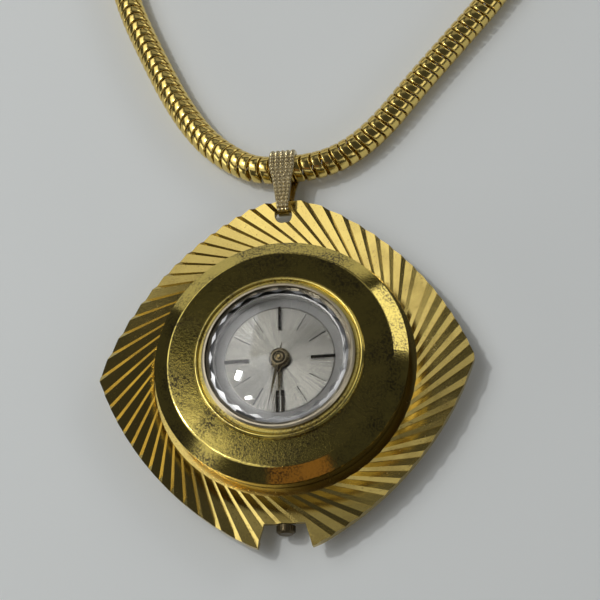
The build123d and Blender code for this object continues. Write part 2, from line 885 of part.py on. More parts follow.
with BuildPart() as mainspring:
    spring_bottom = barrel_bottom + barrel_wall + mainspring_inset
    spring_top = barrel_top - barrel_wall - mainspring_inset
    spring_inner = barrel_hub_radius + mainspring_inset
    spring_outer = barrel_drum_radius - barrel_wall - mainspring_inset
    ribbon = spiral_face(
        barrel_at, spring_bottom, spring_inner, spring_outer, mainspring_turns, mainspring_thickness
    )
    extrude(ribbon, amount=spring_top - spring_bottom)
mainspring.part.label = "mainspring"

# Barrel arbor, with a hub inside the barrel and a square for the ratchet wheel
with BuildPart() as barrel_arbor:
    wheel_top = upper_wheel_bottom + upper_wheel_height
    post(barrel_at, barrel_arbor_radius, bridge_bottom - pivot_clearance, barrel_top)
    hub_bottom = barrel_bottom + barrel_wall + pivot_clearance
    hub_top = barrel_top - barrel_wall - pivot_clearance
    post(barrel_at, barrel_hub_radius, hub_bottom, hub_top)
    post(barrel_at, pivot_radius, barrel_top, main_plate_bottom + pivot_depth)
    with BuildSketch(Plane((barrel_at[0], barrel_at[1], upper_wheel_bottom))):
        Rectangle(arbor_square, arbor_square)
    extrude(amount=bridge_bottom - upper_wheel_bottom)
    post(barrel_at, screw_radius, upper_wheel_bottom, bridge_top, Mode.SUBTRACT)
barrel_arbor.part.label = "barrel_arbor"

# Ratchet wheel and crown wheel
ratchet_turn = direction(barrel_at, crown_wheel_at)
with BuildPart() as ratchet_wheel:
    extrude(
        gear_face(barrel_at, upper_wheel_bottom, ratchet_teeth, winding_module, ratchet_turn),
        amount=upper_wheel_height,
    )
    with BuildSketch(Plane((barrel_at[0], barrel_at[1], upper_wheel_bottom))):
        Rectangle(arbor_square, arbor_square)
    extrude(amount=upper_wheel_height, mode=Mode.SUBTRACT)
ratchet_wheel.part.label = "ratchet_wheel"

with BuildPart() as ratchet_screw:
    post(barrel_at, wheel_screw_radius, upper_wheel_bottom - wheel_screw_height, upper_wheel_bottom)
    post(barrel_at, screw_radius, upper_wheel_bottom, bridge_top)
ratchet_screw.part.label = "ratchet_screw"

crown_wheel_turn = meshed_turn(ratchet_turn, ratchet_teeth, ratchet_turn, crown_wheel_teeth)
with BuildPart() as crown_wheel:
    crown_wheel_face = gear_face(
        crown_wheel_at, upper_wheel_bottom, crown_wheel_teeth, winding_module, crown_wheel_turn
    )
    extrude(crown_wheel_face, amount=upper_wheel_height)
    bore = crown_core_radius + running_clearance
    post(crown_wheel_at, bore, upper_wheel_bottom, bridge_bottom, Mode.SUBTRACT)
crown_wheel.part.label = "crown_wheel"

with BuildPart() as crown_wheel_core:
    post(crown_wheel_at, crown_core_radius, upper_wheel_bottom - pivot_clearance, bridge_bottom)
    head_top = upper_wheel_bottom - pivot_clearance
    post(crown_wheel_at, wheel_screw_radius, head_top - wheel_screw_height, head_top)
    post(crown_wheel_at, screw_radius, bridge_bottom, bridge_top)
crown_wheel_core.part.label = "crown_wheel_core"

# Click, which stops the ratchet wheel, and its spring
ratchet_tip = ratchet_teeth * winding_module / 2 + addendum_share * winding_module
click_tip = polar(ratchet_tip + click_tip_gap, click_tip_turn, barrel_at)
with BuildPart() as click:
    click_bottom = bridge_bottom - pivot_clearance - click_height
    click_face = lever_face(click_at, click_tip, click_bottom, click_width * 2, click_width / 2)
    extrude(click_face, amount=click_height)
    bore = click_pin_radius + pivot_clearance
    post(click_at, bore, click_bottom, bridge_bottom, Mode.SUBTRACT)
click.part.label = "click"

with BuildPart() as click_spring:
    post(click_spring_at, screw_head_radius, click_bottom, bridge_bottom)
    spring_reach = distance(click_spring_at, click_at) - click_width - click_tip_gap
    spring_end = polar(spring_reach, direction(click_spring_at, click_at), click_spring_at)
    extrude(
        lever_face(click_spring_at, spring_end, click_bottom, click_spring_width, click_spring_width),
        amount=click_height,
    )
click_spring.part.label = "click_spring"

# Crown, stem and the tube that guides the stem
with BuildPart() as crown:
    crown_start = notch_floor + crown_gap
    rod(crown_radius, crown_start, crown_start + crown_length)
    crown_faces = crown.faces().filter_by(Axis.Y).sort_by(Axis.Y)
    chamfer(crown_faces[0].edges(), crown_dome)
    groove_plane = Plane(origin=(0, -crown_start, stem_height), x_dir=(1, 0, 0), z_dir=(0, -1, 0))
    with BuildSketch(groove_plane):
        with PolarLocations(crown_radius, crown_grooves):
            Rectangle(2 * crown_groove_depth, crown_groove_depth)
    extrude(amount=crown_length, mode=Mode.SUBTRACT)
    rod(stem_radius, crown_start, crown_start + crown_length / 2, mode=Mode.SUBTRACT)
crown.part.label = "crown"

with BuildPart() as winding_stem:
    rod(stem_radius, stem_square_end, crown_start + crown_length / 2)
    rod(stem_tip_radius, stem_tip, stem_square_start)
    square_plane = Plane(origin=(0, -stem_square_start, stem_height), x_dir=(1, 0, 0), z_dir=(0, -1, 0))
    with BuildSketch(square_plane):
        Rectangle(stem_square, stem_square)
    extrude(amount=stem_square_end - stem_square_start)
    groove_start = stem_groove_middle - stem_groove_width / 2
    groove_end = stem_groove_middle + stem_groove_width / 2
    rod(stem_radius, groove_start, groove_end, mode=Mode.SUBTRACT)
    rod(stem_groove_radius, groove_start, groove_end)
winding_stem.part.label = "winding_stem"

with BuildPart() as stem_tube:
    rod(tube_radius, tube_start, tube_end)
    rod(stem_radius + running_clearance, tube_start, tube_end, mode=Mode.SUBTRACT)
stem_tube.part.label = "stem_tube"

# Winding pinion and sliding clutch on the stem
with BuildPart() as winding_pinion:
    rod(winding_pinion_root, winding_pinion_start, winding_pinion_start + winding_pinion_length)
    pinion_plane = Plane(
        origin=(0, -winding_pinion_start, stem_height), x_dir=(1, 0, 0), z_dir=(0, -1, 0)
    )
    with BuildSketch(pinion_plane):
        leaf_width = 2 * pi * winding_pinion_radius / winding_pinion_teeth * pitch_tooth_share * 2
        leaf_align = (Align.MIN, Align.CENTER)
        with PolarLocations(0, winding_pinion_teeth):
            Rectangle(winding_pinion_radius, leaf_width, align=leaf_align)
    extrude(amount=winding_pinion_length)
    bore = stem_radius + running_clearance
    pinion_end = winding_pinion_start + winding_pinion_length
    rod(bore, winding_pinion_start, pinion_end, mode=Mode.SUBTRACT)
winding_pinion.part.label = "winding_pinion"

with BuildPart() as sliding_clutch:
    rod(clutch_radius, clutch_start, clutch_start + clutch_length)
    groove_start = clutch_groove_middle - clutch_groove_width / 2
    groove_end = clutch_groove_middle + clutch_groove_width / 2
    rod(clutch_radius, groove_start, groove_end, mode=Mode.SUBTRACT)
    rod(clutch_groove_radius, groove_start, groove_end)
    clutch_plane = Plane(origin=(0, -clutch_start, stem_height), x_dir=(1, 0, 0), z_dir=(0, -1, 0))
    with BuildSketch(clutch_plane):
        bore_side = stem_square + 2 * running_clearance
        Rectangle(bore_side, bore_side)
    extrude(amount=clutch_length, mode=Mode.SUBTRACT)
sliding_clutch.part.label = "sliding_clutch"

# Setting lever and yoke, whose fingers lie in the grooves of the stem and of the clutch
with BuildPart() as setting_lever:
    lever_tip = (stem_groove_radius + lever_finger_gap, -stem_groove_middle)
    extrude(
        lever_face(setting_lever_at, lever_tip, lever_bottom, lever_width, lever_finger_width),
        amount=lever_height,
    )
    post(setting_lever_at, pin_radius + pivot_clearance, lever_bottom, main_plate_bottom, Mode.SUBTRACT)
setting_lever.part.label = "setting_lever"

with BuildPart() as yoke:
    yoke_tip = (clutch_groove_radius + lever_finger_gap, -clutch_groove_middle)
    extrude(
        lever_face(yoke_at, yoke_tip, lever_bottom, lever_width, lever_finger_width),
        amount=lever_height,
    )
    post(yoke_at, pin_radius + pivot_clearance, lever_bottom, main_plate_bottom, Mode.SUBTRACT)
yoke.part.label = "yoke"

# Centre wheel: its arbor carries the cannon pinion
third_turn = direction((0, 0), third_at)
with BuildPart() as center_wheel:
    extrude(
        gear_face((0, 0), centre_wheel_bottom, centre_teeth, centre_module, third_turn),
        amount=wheel_thickness,
    )
    pitch_radius = centre_teeth * centre_module / 2
    hub = pitch_radius * hub_share
    web = pitch_radius * web_share
    windows = spoke_windows((0, 0), centre_wheel_bottom, hub, web, centre_spokes, spoke_width)
    extrude(windows, amount=wheel_thickness, mode=Mode.SUBTRACT)
    pinion_face = gear_face(
        (0, 0), centre_pinion_bottom, centre_pinion_teeth, barrel_module, centre_turn
    )
    extrude(pinion_face, amount=centre_pinion_height)
    post((0, 0), arbor_radius, bridge_top + pivot_clearance, cannon_top - hand_thickness)
    post((0, 0), pivot_radius, bridge_top - pivot_depth, bridge_top + pivot_clearance)
center_wheel.part.label = "center_wheel"

# Third, fourth and escape wheels
with BuildPart() as third_wheel:
    angle = direction(third_at, fourth_at)
    extrude(
        gear_face(third_at, third_wheel_bottom, third_teeth, third_module, angle), amount=wheel_thickness
    )
    pitch_radius = third_teeth * third_module / 2
    hub = pitch_radius * hub_share
    web = pitch_radius * web_share
    windows = spoke_windows(third_at, third_wheel_bottom, hub, web, wheel_spokes, spoke_width)
    extrude(windows, amount=wheel_thickness, mode=Mode.SUBTRACT)
    pinion_turn = meshed_turn(third_turn, centre_teeth, third_turn, pinion_leaves)
    leaves = gear_face(third_at, third_pinion_bottom, pinion_leaves, centre_module, pinion_turn)
    extrude(leaves, amount=leaf_height)
    arbor(third_at)
third_wheel.part.label = "third_wheel"

with BuildPart() as fourth_wheel:
    angle = direction(fourth_at, escape_at)
    extrude(
        gear_face(fourth_at, fourth_wheel_bottom, fourth_teeth, fourth_module, angle),
        amount=wheel_thickness,
    )
    pitch_radius = fourth_teeth * fourth_module / 2
    hub = pitch_radius * hub_share
    web = pitch_radius * web_share
    windows = spoke_windows(fourth_at, fourth_wheel_bottom, hub, web, wheel_spokes, spoke_width)
    extrude(windows, amount=wheel_thickness, mode=Mode.SUBTRACT)
    angle = direction(third_at, fourth_at)
    pinion_turn = meshed_turn(angle, third_teeth, angle, pinion_leaves)
    leaves = gear_face(fourth_at, fourth_pinion_bottom, pinion_leaves, third_module, pinion_turn)
    extrude(leaves, amount=leaf_height)
    arbor(fourth_at)
fourth_wheel.part.label = "fourth_wheel"

with BuildPart() as escape_wheel:
    with BuildSketch(Plane((escape_at[0], escape_at[1], escape_wheel_bottom))):
        with BuildLine():
            rake = 360 / escape_teeth / 2
            teeth = []
            for tooth in range(escape_teeth):
                angle = 360 * tooth / escape_teeth
                teeth.append(polar(escape_radius, angle))
                teeth.append(polar(escape_radius * escape_root_share, angle + rake / 2))
                teeth.append(polar(escape_radius * escape_root_share, angle + 2 * rake))
            Polyline(*teeth, close=True)
        make_face()
    extrude(amount=wheel_thickness)
    angle = direction(fourth_at, escape_at)
    pinion_turn = meshed_turn(angle, fourth_teeth, angle, escape_leaves)
    leaves = gear_face(escape_at, escape_pinion_bottom, escape_leaves, fourth_module, pinion_turn)
    extrude(leaves, amount=leaf_height)
    arbor(escape_at, radius=pivot_radius)
escape_wheel.part.label = "escape_wheel"

# Pallet fork: a lever towards the balance and two arms with stones at the escape wheel
with BuildPart() as pallet_fork:
    fork_plane = Plane((pallet_at[0], pallet_at[1], fork_bottom))
    lever_turn = direction(pallet_at, balance_at)
    with BuildSketch(fork_plane.rotated((0, 0, lever_turn))):
        Circle(fork_width)
        Rectangle(fork_length, fork_width, align=(Align.MIN, Align.CENTER))
        with Locations((fork_length, 0)):
            Rectangle(fork_width * 2, fork_width * 2)
            slot_length = fork_width * 2
            Rectangle(slot_length, fork_slot, align=(Align.MIN, Align.CENTER), mode=Mode.SUBTRACT)
    extrude(amount=fork_height)
    with BuildSketch(fork_plane.rotated((0, 0, direction(pallet_at, escape_at)))):
        Rectangle(fork_width, 2 * pallet_arm)
        for side in (1, -1):
            with Locations((0, side * (pallet_arm - pallet_stone_width / 2))):
                stone_align = (Align.MIN, Align.CENTER)
                Rectangle(pallet_stone_length, pallet_stone_width, align=stone_align)
    extrude(amount=fork_height)
    fork_arbor_bottom = pallet_bridge_bottom + pallet_bridge_height
    post(pallet_at, pivot_radius, fork_arbor_bottom, main_plate_bottom)
    post(pallet_at, pivot_radius, pallet_bridge_bottom, main_plate_bottom + pivot_depth)
pallet_fork.part.label = "pallet_fork"

# Balance with its roller, whose impulse pin is turned away from the fork
with BuildPart() as balance_wheel:
    with BuildSketch(Plane((balance_at[0], balance_at[1], balance_bottom))):
        Circle(balance_radius)
        Circle(balance_radius - balance_rim_width, mode=Mode.SUBTRACT)
        Rectangle(2 * balance_radius - balance_rim_width, balance_arm_width)
        Circle(balance_arm_width)
    extrude(amount=balance_height)
    arbor(balance_at, radius=balance_staff_radius)
    post(balance_at, roller_radius, roller_bottom, roller_bottom + roller_height)
    away = direction(pallet_at, balance_at) + impulse_pin_turn
    pin_at = polar(roller_radius - 2 * impulse_pin_radius, away, balance_at)
    post(pin_at, impulse_pin_radius, roller_bottom, roller_bottom + 2 * roller_height)
balance_wheel.part.label = "balance_wheel"

with BuildPart() as hairspring:
    ribbon = spiral_face(
        balance_at,
        hairspring_bottom,
        hairspring_inner_radius,
        hairspring_outer_radius,
        hairspring_turns,
        hairspring_thickness,
    )
    extrude(ribbon, amount=hairspring_height)
hairspring.part.label = "hairspring"

stud_reach = hairspring_outer_radius + hairspring_thickness / 2 + stud_radius
stud_at = polar(stud_reach, 360 * hairspring_turns, balance_at)
with BuildPart() as hairspring_stud:
    post(stud_at, stud_radius, bridge_top, hairspring_bottom + hairspring_height)
hairspring_stud.part.label = "hairspring_stud"

with BuildPart() as regulator:
    regulator_plane = Plane((balance_at[0], balance_at[1], bridge_bottom - regulator_height))
    with BuildSketch(regulator_plane):
        Circle(regulator_bore + regulator_ring_width)
        Rectangle(regulator_pointer, regulator_tip_width, align=(Align.MIN, Align.CENTER))
        Circle(regulator_bore, mode=Mode.SUBTRACT)
    extrude(amount=regulator_height - pivot_clearance)
regulator.part.label = "regulator"

# Motion works under the dial
minute_angle = direction((0, 0), minute_wheel_at)
with BuildPart() as cannon_pinion:
    post((0, 0), cannon_radius, cannon_bottom, minute_hand_bottom)
    post((0, 0), hand_seat_radius, minute_hand_bottom, cannon_top)
    cannon_face = gear_face((0, 0), cannon_bottom, cannon_teeth, motion_module, minute_angle)
    extrude(cannon_face, amount=cannon_leaf_height)
    post((0, 0), cannon_bore, cannon_bottom, cannon_top, Mode.SUBTRACT)
cannon_pinion.part.label = "cannon_pinion"

minute_wheel_turn = meshed_turn(minute_angle, cannon_teeth, minute_angle, minute_wheel_teeth)
with BuildPart() as minute_wheel:
    wheel_face = gear_face(
        minute_wheel_at, motion_wheel_bottom, minute_wheel_teeth, motion_module, minute_wheel_turn
    )
    extrude(wheel_face, amount=wheel_thickness)
    pinion_face = gear_face(
        minute_wheel_at, motion_wheel_bottom, minute_pinion_teeth, motion_module, minute_angle
    )
    extrude(pinion_face, amount=wheel_thickness + minute_pinion_height)
    bore = stud_post_radius + running_clearance
    post(minute_wheel_at, bore, main_plate_top, dial_bottom, Mode.SUBTRACT)
minute_wheel.part.label = "minute_wheel"

hour_wheel_turn = meshed_turn(minute_angle, minute_pinion_teeth, minute_angle + 180, hour_wheel_teeth)
with BuildPart() as hour_wheel:
    hour_wheel_face = gear_face(
        (0, 0), hour_wheel_bottom, hour_wheel_teeth, motion_module, hour_wheel_turn
    )
    extrude(hour_wheel_face, amount=wheel_thickness)
    pipe_bore = cannon_radius + running_clearance
    post((0, 0), pipe_bore + pipe_wall, hour_wheel_bottom, hour_hand_bottom + hand_thickness)
    post((0, 0), pipe_bore, hour_wheel_bottom, cannon_top, Mode.SUBTRACT)
hour_wheel.part.label = "hour_wheel"

setting_angle = direction(minute_wheel_at, setting_wheel_at)
with BuildPart() as setting_wheel:
    setting_turn = meshed_turn(minute_wheel_turn, minute_wheel_teeth, setting_angle, setting_teeth)
    setting_face = gear_face(
        setting_wheel_at, motion_wheel_bottom, setting_teeth, motion_module, setting_turn
    )
    extrude(setting_face, amount=wheel_thickness)
    bore = stud_post_radius + running_clearance
    post(setting_wheel_at, bore, main_plate_top, dial_bottom, Mode.SUBTRACT)
setting_wheel.part.label = "setting_wheel"


def hand_face(height, turn, length, width, tail_length, hub, bore):
    """A pointed hand with a round hub, turned clockwise from twelve."""
    with BuildSketch(Plane.XY.offset(height).rotated((0, 0, -90 - turn))) as hand:
        with BuildLine():
            Polyline(
                (-tail_length, 0), (0, width / 2), (length, 0), (0, -width / 2), close=True
            )
        make_face()
        Circle(hub)
        Circle(bore, mode=Mode.SUBTRACT)
    return hand.sketch


with BuildPart() as hour_hand:
    bore = cannon_radius + running_clearance + pipe_wall
    face = hand_face(
        hour_hand_bottom,
        hour_turn,
        hour_hand_length,
        hour_hand_width,
        hour_hub_radius,
        hour_hub_radius,
        bore,
    )
    extrude(face, amount=hand_thickness)
hour_hand.part.label = "hour_hand"

with BuildPart() as minute_hand:
    face = hand_face(
        minute_hand_bottom,
        minute_turn,
        minute_hand_length,
        minute_hand_width,
        minute_tail_length,
        minute_hub_radius,
        hand_seat_radius,
    )
    extrude(face, amount=hand_thickness)
minute_hand.part.label = "minute_hand"

# Bail
with BuildPart() as bail:
    with BuildSketch(Plane.YZ):
        for grow, mode in ((bail_strap, Mode.ADD), (0, Mode.SUBTRACT)):
            rim_radius = bail_rim_radius + grow
            chain_radius = bail_chain_radius + grow
            span = hypot(bail_chain_y - bail_axis_y, bail_chain_z - bail_axis_z)
            lean = degrees(atan2(bail_chain_z - bail_axis_z, bail_chain_y - bail_axis_y))
            flank = 90 + degrees(atan2(chain_radius - rim_radius, span))
            corners = []
            for side in (1, -1):
                angle = lean + side * flank
                corners.append(polar(rim_radius, angle, (bail_axis_y, bail_axis_z)))
                corners.append(polar(chain_radius, angle, (bail_chain_y, bail_chain_z)))
            with BuildLine():
                Polyline(corners[0], corners[1], corners[3], corners[2], close=True)
            make_face(mode=mode)
            with Locations((bail_axis_y, bail_axis_z)):
                Circle(rim_radius, mode=mode)
            with Locations((bail_chain_y, bail_chain_z)):
                Circle(chain_radius, mode=mode)
    extrude(amount=bail_wide / 2, both=True)
    with BuildSketch():
        with BuildLine():
            bail_start = bail_axis_y - bail_rim_radius - bail_strap
            bail_end = bail_chain_y + bail_chain_radius + bail_strap
            Polyline(
                (-bail_narrow / 2, bail_start),
                (-bail_middle_width / 2, bail_taper_y),
                (-bail_wide / 2, bail_full_y),
                (-bail_wide / 2, bail_end),
                (bail_wide / 2, bail_end),
                (bail_wide / 2, bail_full_y),
                (bail_middle_width / 2, bail_taper_y),
                (bail_narrow / 2, bail_start),
                close=True,
            )
        make_face()
    extrude(amount=bail_end, mode=Mode.INTERSECT)
bail.part.label = "bail"


def route_points(run):
    """The corners of a route, from a run that is measured upwards from the bail's loop."""
    return [(x, bail_chain_y + y, z) for x, y, z in run]


def corner_radii(points):
    """The bend radius at each corner of a route."""
    radii = []
    for before, corner, after in zip(points, points[1:], points[2:]):
        first = Vector(*corner) - Vector(*before)
        second = Vector(*after) - Vector(*corner)
        half_turn = radians(first.get_angle(second)) / 2
        radii.append(arc_share * min(first.length, second.length) / tan(half_turn))
    return radii


# Chain strands
left_route = route_points(left_run)
right_route = route_points(right_run)
tail_route = route_points(tail_run)
strands = {}
for name, route in (("chain_left", left_route), ("chain_right", right_route)):
    radii = corner_radii(route)
    with BuildPart() as strand:
        with BuildLine() as path:
            FilletPolyline(*route, radius=radii)
        with BuildSketch(path.line ^ 0):
            Circle(chain_diameter / 2)
        sweep()
    strand.part.label = name
    strands[name] = strand.part
    section = pi * chain_diameter**2 / 4
    length = path.wire().length
    print(name, "length", round(length, 2), "bend radii", [round(radius, 1) for radius in radii])
    print(name, "volume over section times length", round(strand.part.volume / section / length, 4))


# Chain coil: two layers, wound in on the floor and out again on top
coil_turns = coil_floor_turns + coil_climb_turns + coil_top_turns


def coil_point(turns):
    """A point on the middle line of the coil, after this many turns."""
    middle = coil_floor_turns + coil_climb_turns / 2
    radius = coil_radius + coil_pitch * (abs(turns - middle) - middle)
    climb = min(max((turns - coil_floor_turns) / coil_climb_turns, 0), 1)
    smooth = climb * climb * (3 - 2 * climb)
    x, y = polar(radius, 180 - 360 * turns, (coil_centre_x, coil_centre_y))
    return Vector(x, y, chain_height + coil_layer_rise * smooth)


def coil_tangent(turns):
    """The direction of the middle line of the coil, after this many turns."""
    step = 1 / (360 * coil_arcs_per_turn)
    before = coil_point(max(turns - step, 0))
    after = coil_point(min(turns + step, coil_turns))
    return (after - before).normalized()


def biarc_joint(start, start_way, end, end_way):
    """The point where two arcs meet that run on from one end to the other."""
    chord = end - start
    ways = start_way + end_way
    a = 2 * (start_way.dot(end_way) - 1)
    b = -2 * chord.dot(ways)
    c = chord.dot(chord)
    reach = (-b - sqrt(b * b - 4 * a * c)) / (2 * a)
    return (start + start_way * reach + end - end_way * reach) / 2


with BuildPart() as chain_coil:
    steps = round(coil_turns * coil_arcs_per_turn)
    stops = [coil_turns * index / steps for index in range(steps + 1)]
    points = [coil_point(stop) for stop in stops]
    ways = [coil_tangent(stop) for stop in stops]
    ways[0] = Vector(0, 1, 0)
    entry = points[0] - ways[0] * chain_diameter
    exit_turn = points[-1] + ways[-1] * coil_exit_run
    tail = [points[-1], exit_turn] + [Vector(*point) for point in tail_route]
    tail_radii = corner_radii([tuple(point) for point in tail])
    with BuildLine() as coil_path:
        Line(entry, points[0])
        for index in range(steps):
            way = ways[index]
            joint = biarc_joint(points[index], way, points[index + 1], ways[index + 1])
            first_arc = TangentArc(points[index], joint, tangent=way)
            TangentArc(joint, points[index + 1], tangent=first_arc % 1)
        FilletPolyline(*tail, radius=tail_radii)
    with BuildSketch(Plane(origin=entry, z_dir=ways[0])):
        Circle(chain_diameter / 2)
    sweep()
chain_coil.part.label = "chain_coil"

coil_wire = coil_path.wire()
coil_length = coil_wire.length
samples = [coil_wire @ (index / coil_samples) for index in range(coil_samples + 1)]
apart = round(coil_samples * 3 * chain_diameter / coil_length)
least_gap = min(
    (samples[i] - samples[j]).length
    for i in range(0, coil_samples + 1, 2)
    for j in range(i + apart, coil_samples + 1, 2)
)
print("chain_coil length", round(coil_length, 2), "tail radii", [round(r, 1) for r in tail_radii])
print("chain_coil least gap to itself", round(least_gap - chain_diameter, 3))
filled = chain_coil.part.volume / section / coil_length
print("chain_coil volume over section times length", round(filled, 4))

# Clasp: a cap on each end of the chain, a link and a hook
clasp_x = tail_route[-1][0]
cap_ends = {
    "coil_cap": (tail_route[-1][1], -1),
    "strand_cap": (right_route[-1][1], 1),
}
caps = {}
eyes = {}
for name, (start, way) in cap_ends.items():
    with BuildPart() as cap:
        cap_plane = Plane(origin=(clasp_x, start, chain_height), x_dir=(1, 0, 0), z_dir=(0, way, 0))
        with BuildSketch(cap_plane):
            Circle(cap_radius)
        extrude(amount=cap_length)
        eyes[name] = start + way * (cap_length + eye_reach)
        eye_plane = Plane(origin=(clasp_x, eyes[name], chain_height), z_dir=(1, 0, 0), x_dir=(0, 1, 0))
        with BuildSketch(eye_plane):
            Circle(eye_radius)
            with Locations((-way * eye_reach / 2, 0)):
                Rectangle(eye_reach, 2 * eye_radius)
            Circle(eye_hole_radius, mode=Mode.SUBTRACT)
        extrude(amount=eye_thickness / 2, both=True)
    cap.part.label = name
    caps[name] = cap.part

with BuildPart() as clasp_link:
    with Locations((clasp_x, eyes["coil_cap"] - link_radius, chain_height)):
        Torus(link_radius, link_wire_radius)
clasp_link.part.label = "clasp_link"

# The hook's ring goes through the strand's cap, its own eye holds the link
with BuildPart() as clasp_hook:
    ring_middle = eyes["strand_cap"] + link_radius
    hook_eye = eyes["coil_cap"] - 2 * link_radius
    with Locations((clasp_x, ring_middle, chain_height)):
        Torus(link_radius, link_wire_radius)
    hook_plane = Plane(origin=(clasp_x, hook_eye, chain_height), z_dir=(1, 0, 0), x_dir=(0, 1, 0))
    with BuildSketch(hook_plane):
        Circle(hook_width / 2)
        shank = hook_eye - ring_middle - link_radius
        with Locations((-shank / 2, 0)):
            Rectangle(shank, hook_width)
        Circle(eye_hole_radius, mode=Mode.SUBTRACT)
    extrude(amount=hook_thickness / 2, both=True)
clasp_hook.part.label = "clasp_hook"

os.makedirs("parts", exist_ok=True)
pieces = [
    frame_plate,
    case_band,
    case_back,
    bezel,
    crystal,
    crystal_gasket,
    dial,
    hour_bars,
    movement_ring,
    main_plate,
    barrel_bridge,
    train_bridge,
    balance_cock,
    pallet_bridge,
    bridge_screws,
    jewels,
    barrel,
    barrel_cover,
    mainspring,
    barrel_arbor,
    ratchet_wheel,
    ratchet_screw,
    crown_wheel,
    crown_wheel_core,
    click,
    click_spring,
    crown,
    winding_stem,
    stem_tube,
    winding_pinion,
    sliding_clutch,
    setting_lever,
    yoke,
    center_wheel,
    third_wheel,
    fourth_wheel,
    escape_wheel,
    pallet_fork,
    balance_wheel,
    hairspring,
    hairspring_stud,
    regulator,
    cannon_pinion,
    minute_wheel,
    hour_wheel,
    setting_wheel,
    hour_hand,
    minute_hand,
    bail,
    chain_coil,
    clasp_link,
    clasp_hook,
]
solids = [piece.part for piece in pieces] + list(strands.values()) + list(caps.values())
for solid in solids:
    export_step(solid, f"parts/{solid.label}.step")
print("pieces", len(solids))
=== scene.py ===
"""Looks of a pendant watch and its snake chain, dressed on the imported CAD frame."""

from math import cos, pi, radians, sin, tau

import bmesh
import bpy
from mathutils import Matrix, Vector


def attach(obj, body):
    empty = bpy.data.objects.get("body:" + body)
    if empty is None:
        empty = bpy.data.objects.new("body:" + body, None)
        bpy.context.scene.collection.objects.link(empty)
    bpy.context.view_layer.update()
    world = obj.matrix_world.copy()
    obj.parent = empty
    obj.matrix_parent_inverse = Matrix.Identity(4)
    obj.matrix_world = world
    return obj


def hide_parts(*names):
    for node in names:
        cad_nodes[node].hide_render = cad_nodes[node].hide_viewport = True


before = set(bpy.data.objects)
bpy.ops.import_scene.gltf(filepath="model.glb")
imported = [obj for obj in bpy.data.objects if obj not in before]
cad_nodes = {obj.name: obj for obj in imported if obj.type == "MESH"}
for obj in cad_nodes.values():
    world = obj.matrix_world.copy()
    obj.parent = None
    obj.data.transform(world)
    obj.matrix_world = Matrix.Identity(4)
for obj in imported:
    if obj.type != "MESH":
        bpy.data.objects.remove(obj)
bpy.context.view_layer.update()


def link(name, data):
    """A new object that holds a mesh, curve, camera or lamp, at the origin."""
    made = bpy.data.objects.new(name, data)
    bpy.context.scene.collection.objects.link(made)
    return made


def close_mesh(name, mesh):
    """Turns the normals of a mesh outwards and makes an object of it."""
    bmesh.ops.recalc_face_normals(mesh, faces=mesh.faces)
    data = bpy.data.meshes.new(name)
    mesh.to_mesh(data)
    mesh.free()
    return link(name, data)


def add_sides(mesh, low, high, smooth=False):
    """Joins two rings of corners with faces."""
    for index in range(len(low)):
        after = (index + 1) % len(low)
        face = mesh.faces.new((low[index], low[after], high[after], high[index]))
        face.smooth = smooth


# The camera's place and turn, as the photograph was taken
EYE = Vector((0.029618, -0.068173, 0.17721))
EYE_RIGHT = Vector((0.987103, -0.00722, -0.159923))
EYE_DOWN = Vector((-0.070395, -0.916792, -0.393112))
EYE_AHEAD = Vector((-0.143778, 0.3993, -0.905476))
LENS = 96.06
SENSOR = 36
CLIP_NEAR = 0.01
CLIP_FAR = 10

# How far over the watch the ceiling is, and how far from it the other lamps are
CEILING = 0.6
LAMP_DISTANCE = 0.6

# How bright the room itself is
ROOM_LEVEL = 0.05


def set_camera():
    """A camera at the photograph's place and turn."""
    data = bpy.data.cameras.new("camera")
    data.sensor_width = SENSOR
    data.lens = LENS
    data.clip_start = CLIP_NEAR
    data.clip_end = CLIP_FAR
    camera = link("camera", data)
    turn = Matrix((EYE_RIGHT, -EYE_DOWN, -EYE_AHEAD)).transposed().to_4x4()
    camera.matrix_world = Matrix.Translation(EYE) @ turn
    bpy.context.scene.camera = camera


def place_lamp(name, place, width, height, level, colour=(1, 1, 1)):
    """A flat lamp; its power makes its face as bright as the level says."""
    data = bpy.data.lights.new(name, "AREA")
    data.shape = "RECTANGLE"
    data.size = width
    data.size_y = height
    data.energy = level * pi * width * height
    data.color = colour
    link(name, data).matrix_world = place


def add_softbox(name, way, width, height, level, colour=(1, 1, 1)):
    """A soft lamp that faces the watch, with the brightness that its face shows."""
    way = Vector(way).normalized()
    turn = way.to_track_quat("Z", "Y").to_matrix().to_4x4()
    place = Matrix.Translation(way * LAMP_DISTANCE) @ turn
    place_lamp(name, place, width, height, level, colour)


def add_ceiling_panel(name, west, east, south, north, level):
    """A level soft lamp over the watch, from edge to edge."""
    middle = Matrix.Translation(((west + east) / 2, (south + north) / 2, CEILING))
    place_lamp(name, middle, east - west, north - south, level)


# Finishes
MILLIMETRE = 0.001


class Wire:
    """A value in a finish, so that a sum on it is written as a sum."""

    def __init__(self, finish, socket):
        self.finish = finish
        self.socket = socket

    def maths(self, operation, other):
        """A sum with this value first."""
        return self.finish.maths(operation, self, other)

    def __add__(self, other):
        return self.maths("ADD", other)

    def __radd__(self, other):
        return self.maths("ADD", other)

    def __sub__(self, other):
        return self.maths("SUBTRACT", other)

    def __rsub__(self, other):
        return self.finish.maths("SUBTRACT", other, self)

    def __mul__(self, other):
        return self.maths("MULTIPLY", other)

    def __rmul__(self, other):
        return self.maths("MULTIPLY", other)


